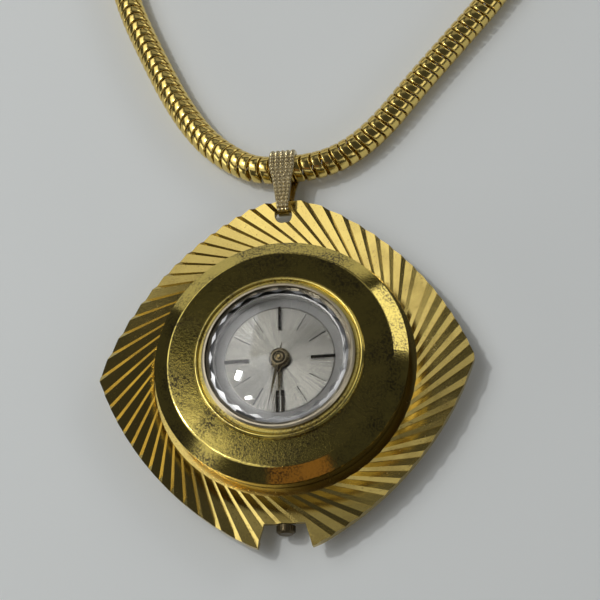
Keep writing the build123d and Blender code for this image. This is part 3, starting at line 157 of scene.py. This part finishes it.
class Finish:
    """A material with one principled shader."""

    def __init__(self, name, **constants):
        self.material = bpy.data.materials.new(name)
        self.material.use_nodes = True
        self.tree = self.material.node_tree
        self.shader = self.tree.nodes["Principled BSDF"]
        for key, value in constants.items():
            self.feed(value, self.shader.inputs[key.replace("_", " ")])
        self.place = self.node("TexCoord", output="Object")

    def feed(self, value, socket):
        """Sets a socket to a number or colour, or joins a wire to it."""
        if isinstance(value, Wire):
            self.tree.links.new(value.socket, socket)
        else:
            socket.default_value = value

    def node(self, kind, settings=None, inputs=None, output=0):
        """A shader node with its settings, its inputs and the output that is used."""
        made = self.tree.nodes.new("ShaderNode" + kind)
        for key, value in (settings or {}).items():
            if key == "stops":
                while len(made.color_ramp.elements) < len(value):
                    made.color_ramp.elements.new(1.0)
                for element, (position, shade) in zip(made.color_ramp.elements, value):
                    element.position = position
                    element.color = (shade, shade, shade, 1)
            else:
                setattr(made, key, value)
        for key, value in (inputs or {}).items():
            self.feed(value, made.inputs[key])
        return Wire(self, made.outputs[output])

    def maths(self, operation, *values):
        """A sum on values, each a number or a wire."""
        return self.node("Math", {"operation": operation}, dict(enumerate(values)))

    def noise(self, scale, detail=2.0, stretch=(1, 1, 1), place=None):
        """Cloudy noise; the scale is in features for each metre."""
        place = self.node("Mapping", None, {"Vector": place or self.place, "Scale": stretch})
        return self.node("TexNoise", None, {"Vector": place, "Scale": scale, "Detail": detail})

    def ramp(self, value, *stops):
        """A value led through steps of grey."""
        return self.node("ValToRGB", {"stops": stops}, {"Fac": value})

    def blend(self, share, first, second):
        """A colour between two colours."""
        inputs = {"Factor": share, 6: first, 7: second}
        return self.node("Mix", {"data_type": "RGBA"}, inputs, output=2)

    def surface(self, **values):
        """Joins values to the shader's sockets."""
        for key, value in values.items():
            self.feed(value, self.shader.inputs[key.replace("_", " ")])
        return self

    def radius(self):
        """The distance from the middle of the watch, in millimetres."""
        inputs = {0: self.place, 1: (1 / MILLIMETRE, 1 / MILLIMETRE, 0)}
        flat = self.node("VectorMath", {"operation": "MULTIPLY"}, inputs)
        return self.node("VectorMath", {"operation": "LENGTH"}, {0: flat}, output=1)

    def step(self, value, low, high):
        """Rises from 0 to 1 while a value goes from low to high."""
        inputs = {"Value": value, "From Min": low, "From Max": high}
        return self.node("MapRange", {"interpolation_type": "SMOOTHSTEP"}, inputs)

    def scratches(self):
        """Fine scratches that cross one another."""
        return self.noise(2200, 3, (1, 14, 3)) + self.noise(1900, 3, (12, 1.3, 3))

    def relief(self, height, depth):
        """Raises the surface; a height of one is this many metres."""
        bump = self.node("Bump", None, {"Height": height, "Distance": depth, "Strength": 1.0})
        return self.surface(Normal=bump)


# How far the relief of a finish goes, in metres
WEAR_DEPTH = 0.000004
BRUSH_DEPTH = 0.000006
STRIPE_DEPTH = 0.00002

# Where the finishes change, as radii on the watch in millimetres
DIAL_BEND = 6.3
DIAL_EDGE = 6.35
GLASS_RIM = 7.6
WELL_RADIUS = 8.3
LIP_RADIUS = 8.98
RING_RADIUS = 10.0
RIDGE_RADIUS = 13.25

# How far out the painted rings of highlight and shade for the hands' turned steps reach, in
# millimetres
HUB_SPAN = 2.0

# The pitch of a wave texture that has a scale of one
WAVE_PITCH = 0.314

# The crystal's facets: how many, and twice how far they cut in, in millimetres
FACETS = 20
FACET_CUT = 0.9


def rgb(red, green, blue):
    """A colour for a socket."""
    return (red, green, blue, 1)


def worn_metal(name, bright, dull, rough, tarnish, hair=0.0, spread=0.3):
    """Polished metal with clouds and specks of tarnish, and fine hairlines."""
    finish = Finish(name, Metallic=1.0)
    clouds = finish.ramp(finish.noise(260, 5), (0.45, 0), (0.72, 1))
    specks = finish.ramp(finish.noise(2600, 3), (0.62, 0), (0.72, 1))
    film = (clouds * 0.55 + specks * 0.6) * tarnish
    smear = finish.noise(90, 3)
    finish.surface(
        Base_Color=finish.blend(film, bright, dull),
        Roughness=rough + film * spread + smear * 0.06,
    )
    return finish.relief(finish.scratches() * hair + clouds * 0.3, WEAR_DEPTH)


def bezel_metal():
    """Polished gold with tarnish; softer and paler at the glass, and silvery under it."""
    finish = Finish("bezel_gold", Metallic=1.0)
    clouds = finish.ramp(finish.noise(260, 7), (0.38, 0.1), (0.60, 1))
    specks = finish.ramp(finish.noise(4200, 4), (0.46, 0), (0.60, 1))
    film = clouds * (specks * 0.7 + 0.3)
    radius = finish.radius()
    gold = finish.blend(film, rgb(0.68, 0.54, 0.14), rgb(0.15, 0.12, 0.055))
    past_lip = finish.step(radius, LIP_RADIUS, LIP_RADIUS + 0.12)
    lip = finish.blend(past_lip, rgb(0.66, 0.58, 0.42), gold)
    past_well = finish.step(radius, WELL_RADIUS, WELL_RADIUS + 0.1)
    on_ring = finish.step(RING_RADIUS - radius, 0, 0.2)
    finish.surface(
        Base_Color=finish.blend(past_well, rgb(0.70, 0.69, 0.66), lip),
        Roughness=0.06 + film * 0.08 + on_ring * 0.22,
    )
    ridge = (0.16 - (radius - RIDGE_RADIUS).maths("ABSOLUTE", 0)).maths("MAXIMUM", 0)
    marks = (finish.scratches() + specks) * 0.0009
    return finish.relief(marks - ridge * ridge * 0.72, MILLIMETRE)


def brushed_metal(name, bright, dull, rough, stretch):
    """Metal with fine straight brush lines, used in the movement."""
    finish = Finish(name, Metallic=1.0)
    lines = finish.noise(3000, 3, stretch)
    clouds = finish.noise(400, 3)
    finish.surface(
        Base_Color=finish.blend(clouds * 0.6, bright, dull),
        Roughness=rough + lines * 0.15,
    )
    return finish.relief(lines, BRUSH_DEPTH)


def hub_with_painted_rings():
    """Browned gold for the hands, with painted rings of highlight and shade round their middle
    that stand in for turned steps.
    """
    finish = Finish("hand_gold", Metallic=1.0)
    # Painted highlight and shade: bright and dark rings by radius, where turned steps would
    # catch light and throw shadow.
    steps = [
        (0.13, 0.05), (0.16, 1), (0.24, 1), (0.28, 0.1),
        (0.37, 0.2), (0.4, 1), (0.46, 0.9), (0.55, 0.35),
    ]
    rings = finish.ramp(finish.radius() * (1 / HUB_SPAN), *steps)
    grain = finish.noise(1500, 3)
    finish.surface(
        Base_Color=finish.blend(rings, rgb(0.07, 0.055, 0.03), rgb(0.60, 0.50, 0.30)),
        Roughness=0.18 + grain * 0.15,
    )
    return finish.relief(grain, WEAR_DEPTH)


def striped_nickel():
    """Plated brass with broad polished stripes, as bridges have."""
    finish = Finish("striped_nickel", Metallic=1.0)
    turn = {"Vector": finish.place, "Rotation": (0, 0, radians(35))}
    wave = {"Vector": finish.node("Mapping", None, turn), "Scale": 280.0}
    stripes = finish.node("TexWave", {"wave_profile": "SAW"}, wave, output=1)
    grain = finish.noise(4000, 3, (1, 8, 1))
    finish.surface(
        Base_Color=finish.blend(grain, rgb(0.74, 0.73, 0.70), rgb(0.58, 0.57, 0.54)),
        Roughness=0.22 + grain * 0.15,
    )
    return finish.relief(stripes + grain * 0.1, STRIPE_DEPTH)


def turned_metal(name, bright, dull, rough, pitch):
    """Metal with fine rings about the middle of the watch, as a lathe leaves."""
    finish = Finish(name, Metallic=1.0)
    rings = finish.node(
        "TexWave",
        {"wave_type": "RINGS", "rings_direction": "Z"},
        {"Vector": finish.place, "Scale": WAVE_PITCH / pitch, "Distortion": 0.4},
        output=1,
    )
    clouds = finish.noise(300, 4)
    finish.surface(
        Base_Color=finish.blend(clouds * 0.7, bright, dull),
        Roughness=rough + clouds * 0.12,
    )
    return finish.relief(rings + clouds * 0.4, WEAR_DEPTH)


def sunburst_dial():
    """Silvered brass, brushed outwards from its middle and rounded down at its edge."""
    finish = Finish("sunburst_dial")
    inputs = {0: finish.place, 1: (1, 1, 0)}
    flat = finish.node("VectorMath", {"operation": "MULTIPLY"}, inputs)
    way = finish.node("VectorMath", {"operation": "NORMALIZE"}, {0: flat})
    rays = finish.noise(55, 4, place=way)
    streaks = rays * 0.5 + finish.noise(1500, 2) * 0.2
    silver = finish.blend(streaks, rgb(0.74, 0.72, 0.64), rgb(0.58, 0.56, 0.48))
    radius = finish.radius()
    edge = finish.step(radius, DIAL_EDGE, DIAL_EDGE + 0.2)
    finish.surface(
        Base_Color=finish.blend(edge, silver, rgb(0.84, 0.83, 0.79)),
        Metallic=0.92 - edge * 0.75,
        Roughness=0.20 + rays * 0.08,
    )
    beyond = (radius - DIAL_BEND).maths("MAXIMUM", 0)
    return finish.relief(rays * radius * 0.014 - beyond * 0.36, MILLIMETRE)


def clear_glass():
    """Clear acrylic with faint wear, and a rim of facets that throw the light back."""
    finish = Finish("clear_glass", IOR=1.49, Transmission_Weight=1.0)
    wear = finish.ramp(finish.noise(900, 4), (0.6, 0), (0.9, 1))
    x = finish.node("SeparateXYZ", None, {0: finish.place})
    y = finish.node("SeparateXYZ", None, {0: finish.place}, output=1)
    turns = finish.maths("ARCTAN2", y, x) * (FACETS / tau)
    notch = finish.maths("PINGPONG", turns, 0.5) * FACET_CUT
    rim = finish.step(finish.radius() - notch, GLASS_RIM, GLASS_RIM + 0.06)
    return finish.surface(
        Base_Color=rgb(0.95, 0.95, 0.95),
        Metallic=rim * 0.5,
        Roughness=wear * 0.02 + rim * 0.22,
    )


def ruby():
    """Clear red stone."""
    finish = Finish("ruby", IOR=1.76, Transmission_Weight=0.6, Roughness=0.05)
    depth = finish.noise(1500, 2)
    colour = finish.blend(depth, rgb(0.75, 0.03, 0.12), rgb(0.5, 0.01, 0.07))
    return finish.surface(Base_Color=colour)


def pale_nylon():
    """Milky soft plastic, a little yellowed."""
    finish = Finish("pale_nylon")
    grain = finish.noise(900, 3)
    colour = finish.blend(grain, rgb(0.78, 0.74, 0.69), rgb(0.62, 0.57, 0.50))
    return finish.surface(Base_Color=colour, Roughness=0.45 + grain * 0.2)


def black_print():
    """Thin dark print on the dial."""
    finish = Finish("black_print", Roughness=0.5)
    grain = finish.noise(4000, 2)
    colour = finish.blend(grain, rgb(0.03, 0.03, 0.03), rgb(0.09, 0.085, 0.08))
    return finish.surface(Base_Color=colour)


plate_gold = worn_metal(
    "plate_gold", rgb(0.60, 0.46, 0.14), rgb(0.30, 0.21, 0.06),
    rough=0.13, tarnish=0.8, hair=0.5, spread=0.2,
)
bezel_gold = bezel_metal()
chain_gold = worn_metal(
    "chain_gold", rgb(0.82, 0.62, 0.19), rgb(0.5, 0.36, 0.09),
    rough=0.14, tarnish=0.4, spread=0.12,
)
bail_gold = worn_metal(
    "bail_gold", rgb(0.66, 0.56, 0.33), rgb(0.30, 0.24, 0.14), rough=0.16, tarnish=0.7
)
# The crown is painted almost black: painted shade for the dark hollow under the plate's notch
# where it sits.
crown_painted_shade = worn_metal(
    "crown_painted_shade", rgb(0.13, 0.10, 0.055), rgb(0.05, 0.04, 0.02),
    rough=0.32, tarnish=1.0, hair=0.5,
)
hand_gold = hub_with_painted_rings()
bar_black = worn_metal(
    "bar_black", rgb(0.07, 0.06, 0.05), rgb(0.2, 0.18, 0.13), rough=0.2, tarnish=0.5, hair=0.4
)
back_gold = turned_metal(
    "back_gold", rgb(0.82, 0.67, 0.32), rgb(0.5, 0.39, 0.17), rough=0.2, pitch=0.00012
)
band_gold = turned_metal(
    "band_gold", rgb(0.80, 0.65, 0.28), rgb(0.4, 0.31, 0.12), rough=0.14, pitch=0.0002
)
wheel_brass = brushed_metal(
    "wheel_brass", rgb(0.80, 0.63, 0.30), rgb(0.62, 0.46, 0.2), rough=0.22, stretch=(1, 6, 1)
)
steel = brushed_metal(
    "steel", rgb(0.74, 0.74, 0.76), rgb(0.5, 0.5, 0.52), rough=0.18, stretch=(6, 1, 1)
)
blued_steel = brushed_metal(
    "blued_steel", rgb(0.06, 0.09, 0.38), rgb(0.1, 0.08, 0.25), rough=0.15, stretch=(1, 1, 1)
)
nickel = striped_nickel()
dial_silver = sunburst_dial()
glass = clear_glass()
red_stone = ruby()
nylon = pale_nylon()
ink = black_print()

NODE_FINISHES = {
    plate_gold: ["frame_plate"],
    bezel_gold: ["bezel"],
    band_gold: ["case_band", "stem_tube"],
    back_gold: ["case_back"],
    bail_gold: ["bail"],
    crown_painted_shade: ["crown"],
    chain_gold: [
        "chain_left", "chain_coil", "chain_right", "coil_cap", "strand_cap", "clasp_link",
        "clasp_hook",
    ],
    hand_gold: ["hour_hand", "minute_hand", "cannon_pinion"],
    bar_black: ["hour_bars"],
    dial_silver: ["dial"],
    glass: ["crystal"],
    nylon: ["crystal_gasket"],
    red_stone: ["jewels"],
    nickel: [
        "main_plate", "barrel_bridge", "train_bridge", "balance_cock", "pallet_bridge",
        "movement_ring",
    ],
    wheel_brass: [
        "barrel", "barrel_cover", "center_wheel", "third_wheel", "fourth_wheel",
        "minute_wheel", "hour_wheel", "setting_wheel", "balance_wheel",
    ],
    blued_steel: ["bridge_screws", "hairspring", "ratchet_screw"],
    steel: [
        "mainspring", "barrel_arbor", "ratchet_wheel", "crown_wheel", "crown_wheel_core",
        "click", "click_spring", "winding_stem", "winding_pinion", "sliding_clutch",
        "setting_lever", "yoke", "escape_wheel", "pallet_fork", "hairspring_stud", "regulator",
    ],
}


def dress_nodes():
    """Gives every CAD node its finish."""
    for finish, names in NODE_FINISHES.items():
        for name in names:
            for slot in cad_nodes[name].material_slots:
                slot.link = "OBJECT"
                slot.material = finish.material


# The chain's routes, corner by corner, in metres
LEFT_ROUTE = [
    (0.0004, 0.0269, 0.00228),
    (-0.0029, 0.0269, 0.00228),
    (-0.0062, 0.0286, 0.00195),
    (-0.0102, 0.0320, 0.00175),
    (-0.0139, 0.0376, 0.00175),
    (-0.0173, 0.0448, 0.00175),
    (-0.0210, 0.0534, 0.00175),
    (-0.0233, 0.0622, 0.00175),
    (-0.0238, 0.0713, 0.00175),
    (-0.02395, 0.0810, 0.00175),
    (-0.02395, 0.09055, 0.00175),
]
RIGHT_ROUTE = [
    (0.0004, 0.0269, 0.00228),
    (0.0039, 0.0269, 0.00228),
    (0.0083, 0.02875, 0.00195),
    (0.0123, 0.0322, 0.00175),
    (0.0166, 0.0375, 0.00175),
    (0.0219, 0.0436, 0.00175),
    (0.0269, 0.0493, 0.00175),
    (0.0310, 0.0550, 0.00175),
    (0.0329, 0.0618, 0.00175),
    (0.0329, 0.0680, 0.00175),
]
TAIL_ROUTE = [(0.0286, 0.0972, 0.0026), (0.0329, 0.0896, 0.00175), (0.0329, 0.0824, 0.00175)]

# The put-away coil, and how far the chain runs straight on from it
COIL_CENTRE = (-0.00255, 0.094)
COIL_RADIUS = 0.0214
COIL_PITCH = 0.0039
COIL_RISE = 0.00392
FLOOR_TURNS = 2.0
CLIMB_TURNS = 0.5
TOP_TURNS = 1.847
POINTS_PER_TURN = 24
EXIT_RUN = 0.014

# The chain and its links; the edge gives a link's reach at shares of its half length
CHAIN_HEIGHT = 0.00175
CHAIN_DIAMETER = 0.00345
LONG_LENGTH = 0.578
SHORT_LENGTH = 0.056
LINK_PITCH = 0.00128
LINK_GAP = 0.00014
LINK_WAVE = 0.00027
LINK_SIDES = 20
LINK_EDGE = [(1.0, 0.88), (0.93, 0.95), (0.80, 0.988), (0.66, 1.0)]
LINK_BORE = 0.78


def coil_point(turns):
    """A corner of the coil: wound in on the floor and out again on top."""
    middle = FLOOR_TURNS + CLIMB_TURNS / 2
    radius = COIL_RADIUS + COIL_PITCH * (abs(turns - middle) - middle)
    radius = radius / cos(pi / POINTS_PER_TURN)
    climb = min(max((turns - FLOOR_TURNS) / CLIMB_TURNS, 0), 1)
    angle = pi - tau * turns
    rise = COIL_RISE * climb * climb * (3 - 2 * climb)
    x, y = COIL_CENTRE
    return Vector((x + radius * cos(angle), y + radius * sin(angle), CHAIN_HEIGHT + rise))


def long_route():
    """The left strand, the coil and the tail, as one route."""
    turns = FLOOR_TURNS + CLIMB_TURNS + TOP_TURNS
    count = round(turns * POINTS_PER_TURN)
    coil = [coil_point(turns * step / count) for step in range(count + 1)]
    ahead = (coil[-1] - coil[-2]).normalized()
    return [*LEFT_ROUTE, *coil, coil[-1] + ahead * EXIT_RUN, *TAIL_ROUTE]


def route_curve(name, route):
    """A smooth spline with a route's corners as its control points."""
    curve = bpy.data.curves.new(name, "CURVE")
    curve.dimensions = "3D"
    curve.twist_mode = "Z_UP"
    curve.resolution_u = 12
    spline = curve.splines.new("NURBS")
    spline.points.add(len(route) - 1)
    for control, corner in zip(spline.points, route):
        control.co = (*corner, 1)
    spline.order_u = 3
    spline.use_endpoint_u = True
    return link(name, curve)


def chain_link(name, wave):
    """One link: a smooth closed ring with soft edges, which rise and fall round the chain."""
    outer = CHAIN_DIAMETER / 2
    half = (LINK_PITCH - LINK_GAP) / 2
    profile = [(-half * share, outer * reach) for share, reach in LINK_EDGE]
    profile += [(half * share, outer * reach) for share, reach in reversed(LINK_EDGE)]
    profile.append((0, outer * LINK_BORE))
    mesh = bmesh.new()
    rings = []
    for step in range(LINK_SIDES):
        angle = tau * step / LINK_SIDES
        shift = wave * cos(2 * angle)
        corners = [(r * cos(angle), r * sin(angle), z + shift) for z, r in profile]
        rings.append([mesh.verts.new(corner) for corner in corners])
    for step, ring in enumerate(rings):
        add_sides(mesh, ring, rings[(step + 1) % LINK_SIDES], smooth=True)
    return close_mesh(name, mesh)


def new_tree(name, inputs):
    """An empty tree of geometry nodes with its named inputs."""
    tree = bpy.data.node_groups.new(name, "GeometryNodeTree")
    face = tree.interface
    face.new_socket("Geometry", in_out="INPUT", socket_type="NodeSocketGeometry")
    for label, kind in inputs:
        face.new_socket(label, in_out="INPUT", socket_type="NodeSocket" + kind)
    face.new_socket("Geometry", in_out="OUTPUT", socket_type="NodeSocketGeometry")
    return tree, tree.nodes.new("NodeGroupInput"), tree.nodes.new("NodeGroupOutput")


def rows_along_tree():
    """Sets a piece at even steps along a spline."""
    inputs = [("Pitch", "Float"), ("Piece", "Object"), ("Finish", "Material")]
    tree, start, end = new_tree("rows_along", inputs)
    points = tree.nodes.new("GeometryNodeCurveToPoints")
    points.mode = "LENGTH"
    piece = tree.nodes.new("GeometryNodeObjectInfo")
    setting = tree.nodes.new("GeometryNodeInstanceOnPoints")
    join = tree.links.new
    join(start.outputs["Geometry"], points.inputs["Curve"])
    join(start.outputs["Pitch"], points.inputs["Length"])
    join(start.outputs["Piece"], piece.inputs["Object"])
    join(points.outputs["Points"], setting.inputs["Points"])
    join(points.outputs["Rotation"], setting.inputs["Rotation"])
    join(piece.outputs["Geometry"], setting.inputs["Instance"])
    return finish_tree(tree, setting, start, end)


def seats_tree():
    """Sets a piece on each seat, turned and sized as the seat says."""
    tree, start, end = new_tree("seats", [("Piece", "Object"), ("Finish", "Material")])
    piece = tree.nodes.new("GeometryNodeObjectInfo")
    setting = tree.nodes.new("GeometryNodeInstanceOnPoints")
    join = tree.links.new
    join(start.outputs["Geometry"], setting.inputs["Points"])
    join(start.outputs["Piece"], piece.inputs["Object"])
    join(piece.outputs["Geometry"], setting.inputs["Instance"])
    for label, socket in (("turn", "Rotation"), ("size", "Scale")):
        seat = tree.nodes.new("GeometryNodeInputNamedAttribute")
        seat.data_type = "FLOAT_VECTOR"
        seat.inputs["Name"].default_value = label
        join(seat.outputs["Attribute"], setting.inputs[socket])
    return finish_tree(tree, setting, start, end)


def finish_tree(tree, setting, start, end):
    """Ends a tree: the pieces become real and get their finish."""
    real = tree.nodes.new("GeometryNodeRealizeInstances")
    paint = tree.nodes.new("GeometryNodeSetMaterial")
    tree.links.new(setting.outputs["Instances"], real.inputs["Geometry"])
    tree.links.new(real.outputs["Geometry"], paint.inputs["Geometry"])
    tree.links.new(start.outputs["Finish"], paint.inputs["Material"])
    tree.links.new(paint.outputs["Geometry"], end.inputs["Geometry"])
    return tree


def grow(name, source, tree, **values):
    """Runs a tree on an object and keeps its result as a plain mesh."""
    modifier = source.modifiers.new("grow", "NODES")
    modifier.node_group = tree
    for socket in tree.interface.items_tree:
        if socket.in_out == "INPUT" and socket.name in values:
            modifier[socket.identifier] = values[socket.name]
    evaluated = source.evaluated_get(bpy.context.evaluated_depsgraph_get())
    mesh = bpy.data.meshes.new_from_object(evaluated)
    source.modifiers.remove(modifier)
    return link(name, mesh)


def spline_points(curve):
    """The points that a spline runs through."""
    evaluated = curve.evaluated_get(bpy.context.evaluated_depsgraph_get())
    line = bpy.data.meshes.new_from_object(evaluated)
    points = [vertex.co.copy() for vertex in line.vertices]
    bpy.data.meshes.remove(line)
    return points


def drop(*objects):
    """Removes helper objects."""
    for helper in objects:
        bpy.data.objects.remove(helper)


def make_chain(tree):
    """Both strands of the chain, link by link, the longer one with the put-away coil."""
    strands = [
        (
            "long_strand", long_route(), -LINK_WAVE, LONG_LENGTH,
            ["chain_left", "chain_coil"], ["coil_cap", "clasp_link", "clasp_hook"],
        ),
        (
            "short_strand", RIGHT_ROUTE, LINK_WAVE, SHORT_LENGTH,
            ["chain_right"], ["strand_cap"],
        ),
    ]
    for name, route, wave, length, stands_for, fittings in strands:
        curve = route_curve(name + "_line", route)
        piece = chain_link(name + "_link", wave)
        points = spline_points(curve)
        strand = grow(
            name, curve, tree, Pitch=LINK_PITCH, Piece=piece, Finish=chain_gold.material
        )
        drop(curve, piece)
        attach(strand, "chain_body")
        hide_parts(*stands_for)
        "coiled" if name == "long_strand" else "loose"


# The bail, seen from its side: the plate's rim that it turns on, and its loop for the chain
BAIL_AXIS = Vector((0.02165, 0.00278))
BAIL_RIM = 0.00136
BAIL_CHAIN = Vector((0.0269, 0.00228))
BAIL_LOOP = 0.00225
BAIL_WIDTHS = [(0.0203, 0.0013), (0.0245, 0.00235), (0.0264, 0.0032), (0.03, 0.0032)]

# The bail's beads, and how many rows of them lie round each end; the levels give a bead's
# half width and the share of its height
BEAD_PITCH = 0.0005
BEAD_FILL = 0.92
BEAD_HEIGHT = 0.0005
BEAD_CUT = 0.72
BEAD_LEVELS = [(0.5, -0.08), (0.42, 0.16), (0.26, 0.34), (0.1, 0.42)]
ROWS_AT_RIM = 2
ROWS_AT_LOOP = 8


def bail_width(y):
    """The bail's width at a distance along the watch."""
    for (near, narrow), (far, wide) in zip(BAIL_WIDTHS, BAIL_WIDTHS[1:]):
        if y < far:
            return narrow + (wide - narrow) * max(y - near, 0) / (far - near)
    return BAIL_WIDTHS[-1][1]


def columns_at(width):
    """How many beads fit side by side."""
    if width < 0.0018:
        return 3
    return 4 if width < 0.0026 else 5


def way_at(angle):
    """A way of length one in the bail's side view."""
    return Vector((cos(angle), sin(angle)))


def bail_line():
    """Places and outward ways along the bail's outer face, from the rim over the loop's top."""
    span = BAIL_CHAIN - BAIL_AXIS
    lean = span.angle_signed(Vector((1, 0)))
    flank = lean + pi / 2 + (BAIL_LOOP - BAIL_RIM) / span.length
    line = []
    out = way_at(flank)
    first = BAIL_AXIS + out * BAIL_RIM
    last = BAIL_CHAIN + out * BAIL_LOOP
    run = (last - first).length
    steps = int(run / BEAD_PITCH)
    for step in range(-ROWS_AT_RIM, 0):
        way = way_at(flank - step * BEAD_PITCH / BAIL_RIM)
        line.append((BAIL_AXIS + way * BAIL_RIM, way))
    for step in range(steps + 1):
        line.append((first + (last - first) * step * BEAD_PITCH / run, out))
    start = (steps + 1) * BEAD_PITCH - run
    for step in range(ROWS_AT_LOOP):
        way = way_at(flank - (start + step * BEAD_PITCH) / BAIL_LOOP)
        line.append((BAIL_CHAIN + way * BAIL_LOOP, way))
    return line


def bead():
    """One bead: a low dome with eight sides, one unit wide."""
    mesh = bmesh.new()
    rings = []
    for half, height in BEAD_LEVELS:
        cut = half * BEAD_CUT
        corners = [(half, cut), (cut, half), (-cut, half), (-half, cut)]
        corners += [(-x, -y) for x, y in corners]
        rings.append([mesh.verts.new((x, y, height)) for x, y in corners])
    for low, high in zip(rings, rings[1:]):
        add_sides(mesh, low, high, smooth=True)
    mesh.faces.new(rings[-1]).smooth = True
    mesh.faces.new(reversed(rings[0]))
    return close_mesh("bead", mesh)


def make_bail_beads(tree):
    """Rows of beads over the front of the bail."""
    places = []
    turns = []
    sizes = []
    for spot, way in bail_line():
        width = bail_width(spot.x)
        count = columns_at(width)
        pitch = width / count
        turn = Matrix(((1, 0, 0), (0, way.y, way.x), (0, -way.x, way.y))).to_euler()
        for column in range(count):
            x = (column - (count - 1) / 2) * pitch
            places.append((x, spot.x, spot.y))
            turns.append(tuple(turn))
            sizes.append((pitch * BEAD_FILL, BEAD_PITCH * BEAD_FILL, BEAD_HEIGHT))
    data = bpy.data.meshes.new("bead_seats")
    data.from_pydata(places, [], [])
    for label, values in (("turn", turns), ("size", sizes)):
        seat = data.attributes.new(label, "FLOAT_VECTOR", "POINT")
        seat.data.foreach_set("vector", [number for value in values for number in value])
    seats = link("bead_seats", data)
    piece = bead()
    beads = grow("bail_beads", seats, tree, Piece=piece, Finish=bail_gold.material)
    drop(seats, piece)
    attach(beads, "bail_body")


# The dial's printed lines
DIAL_TOP = 0.0057
PRINT_INNER = 0.00397
PRINT_OUTER = 0.0062
PRINT_WIDTH = 0.00009
PRINT_HEIGHT = 0.00002

# Half the floor's width
FLOOR_HALF = 1.5


def make_dial_prints():
    """A thin line for each hour that has no bar."""
    mesh = bmesh.new()
    for hour in range(12):
        if hour % 3 == 0:
            continue
        angle = tau * hour / 12
        way = Vector((cos(angle), sin(angle), 0))
        side = Vector((-sin(angle), cos(angle), 0)) * PRINT_WIDTH / 2
        inner, outer = way * PRINT_INNER, way * PRINT_OUTER
        outline = (inner - side, outer - side, outer + side, inner + side)
        heights = (DIAL_TOP - PRINT_HEIGHT / 2, DIAL_TOP + PRINT_HEIGHT)
        low, high = (
            [mesh.verts.new(corner + Vector((0, 0, height))) for corner in outline]
            for height in heights
        )
        mesh.faces.new(high)
        mesh.faces.new(reversed(low))
        add_sides(mesh, low, high)
    prints = close_mesh("dial_prints", mesh)
    prints.data.materials.append(ink.material)
    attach(prints, "case")


def make_floor():
    """A plain pale floor."""
    mesh = bpy.data.meshes.new("floor")
    corners = [(-FLOOR_HALF, -FLOOR_HALF, 0), (FLOOR_HALF, -FLOOR_HALF, 0)]
    corners += [(FLOOR_HALF, FLOOR_HALF, 0), (-FLOOR_HALF, FLOOR_HALF, 0)]
    mesh.from_pydata(corners, [], [(0, 1, 2, 3)])
    floor = link("floor", mesh)
    matt = Finish("floor", Base_Color=rgb(0.86, 0.89, 0.88), Roughness=0.9)
    floor.data.materials.append(matt.material)


def light_room():
    """A dim room: skylights on the left with two bright panes, and windows on the right."""
    world = bpy.data.worlds.new("room")
    bpy.context.scene.world = world
    world.use_nodes = True
    background = world.node_tree.nodes["Background"]
    background.inputs["Color"].default_value = rgb(0.96, 0.98, 1.0)
    background.inputs["Strength"].default_value = ROOM_LEVEL
    # West, east, south and north edges, and level
    add_ceiling_panel("left_skylight", -0.78, -0.125, -0.07, 0.222, 1.45)
    add_ceiling_panel("near_left_skylight", -0.78, -0.125, -0.38, -0.07, 0.75)
    # Way to the lamp, width, height, level and colour
    add_softbox("far_pane", (-0.455, 0.188, 0.87), 0.045, 0.026, 150.0)
    add_softbox("near_pane", (-0.385, -0.005, 0.92), 0.014, 0.034, 60.0)
    add_softbox("right_window", (0.64, 0.59, 0.49), 0.32, 0.18, 1.6)
    add_softbox("low_window", (0.88, -0.2, 0.4), 0.5, 0.14, 1.1)
    add_softbox("left_wall", (-0.95, -0.25, 0.2), 0.35, 0.17, 1.8)
    add_softbox("near_wall", (-0.07, -0.84, 0.53), 0.4, 0.13, 0.6)
    add_softbox("near_right_wall", (0.62, -0.57, 0.54), 0.4, 0.12, 0.45)
    add_softbox("far_wall", (-0.17, 0.95, 0.25), 0.85, 0.2, 0.5)
    add_ceiling_panel("far_left_skylight", -0.78, -0.25, 0.222, 0.66, 1.4)
    add_ceiling_panel("far_ceiling", -0.1, 0.5, 0.4, 0.85, 0.28)
    add_softbox("warm_card", (0.0, -0.585, 0.8), 0.3, 0.1, 0.2, (1.0, 0.42, 0.1))


set_camera()
light_room()
make_floor()
dress_nodes()
make_chain(rows_along_tree())
make_bail_beads(seats_tree())
make_dial_prints()

bpy.context.scene.view_settings.view_transform = "Standard"
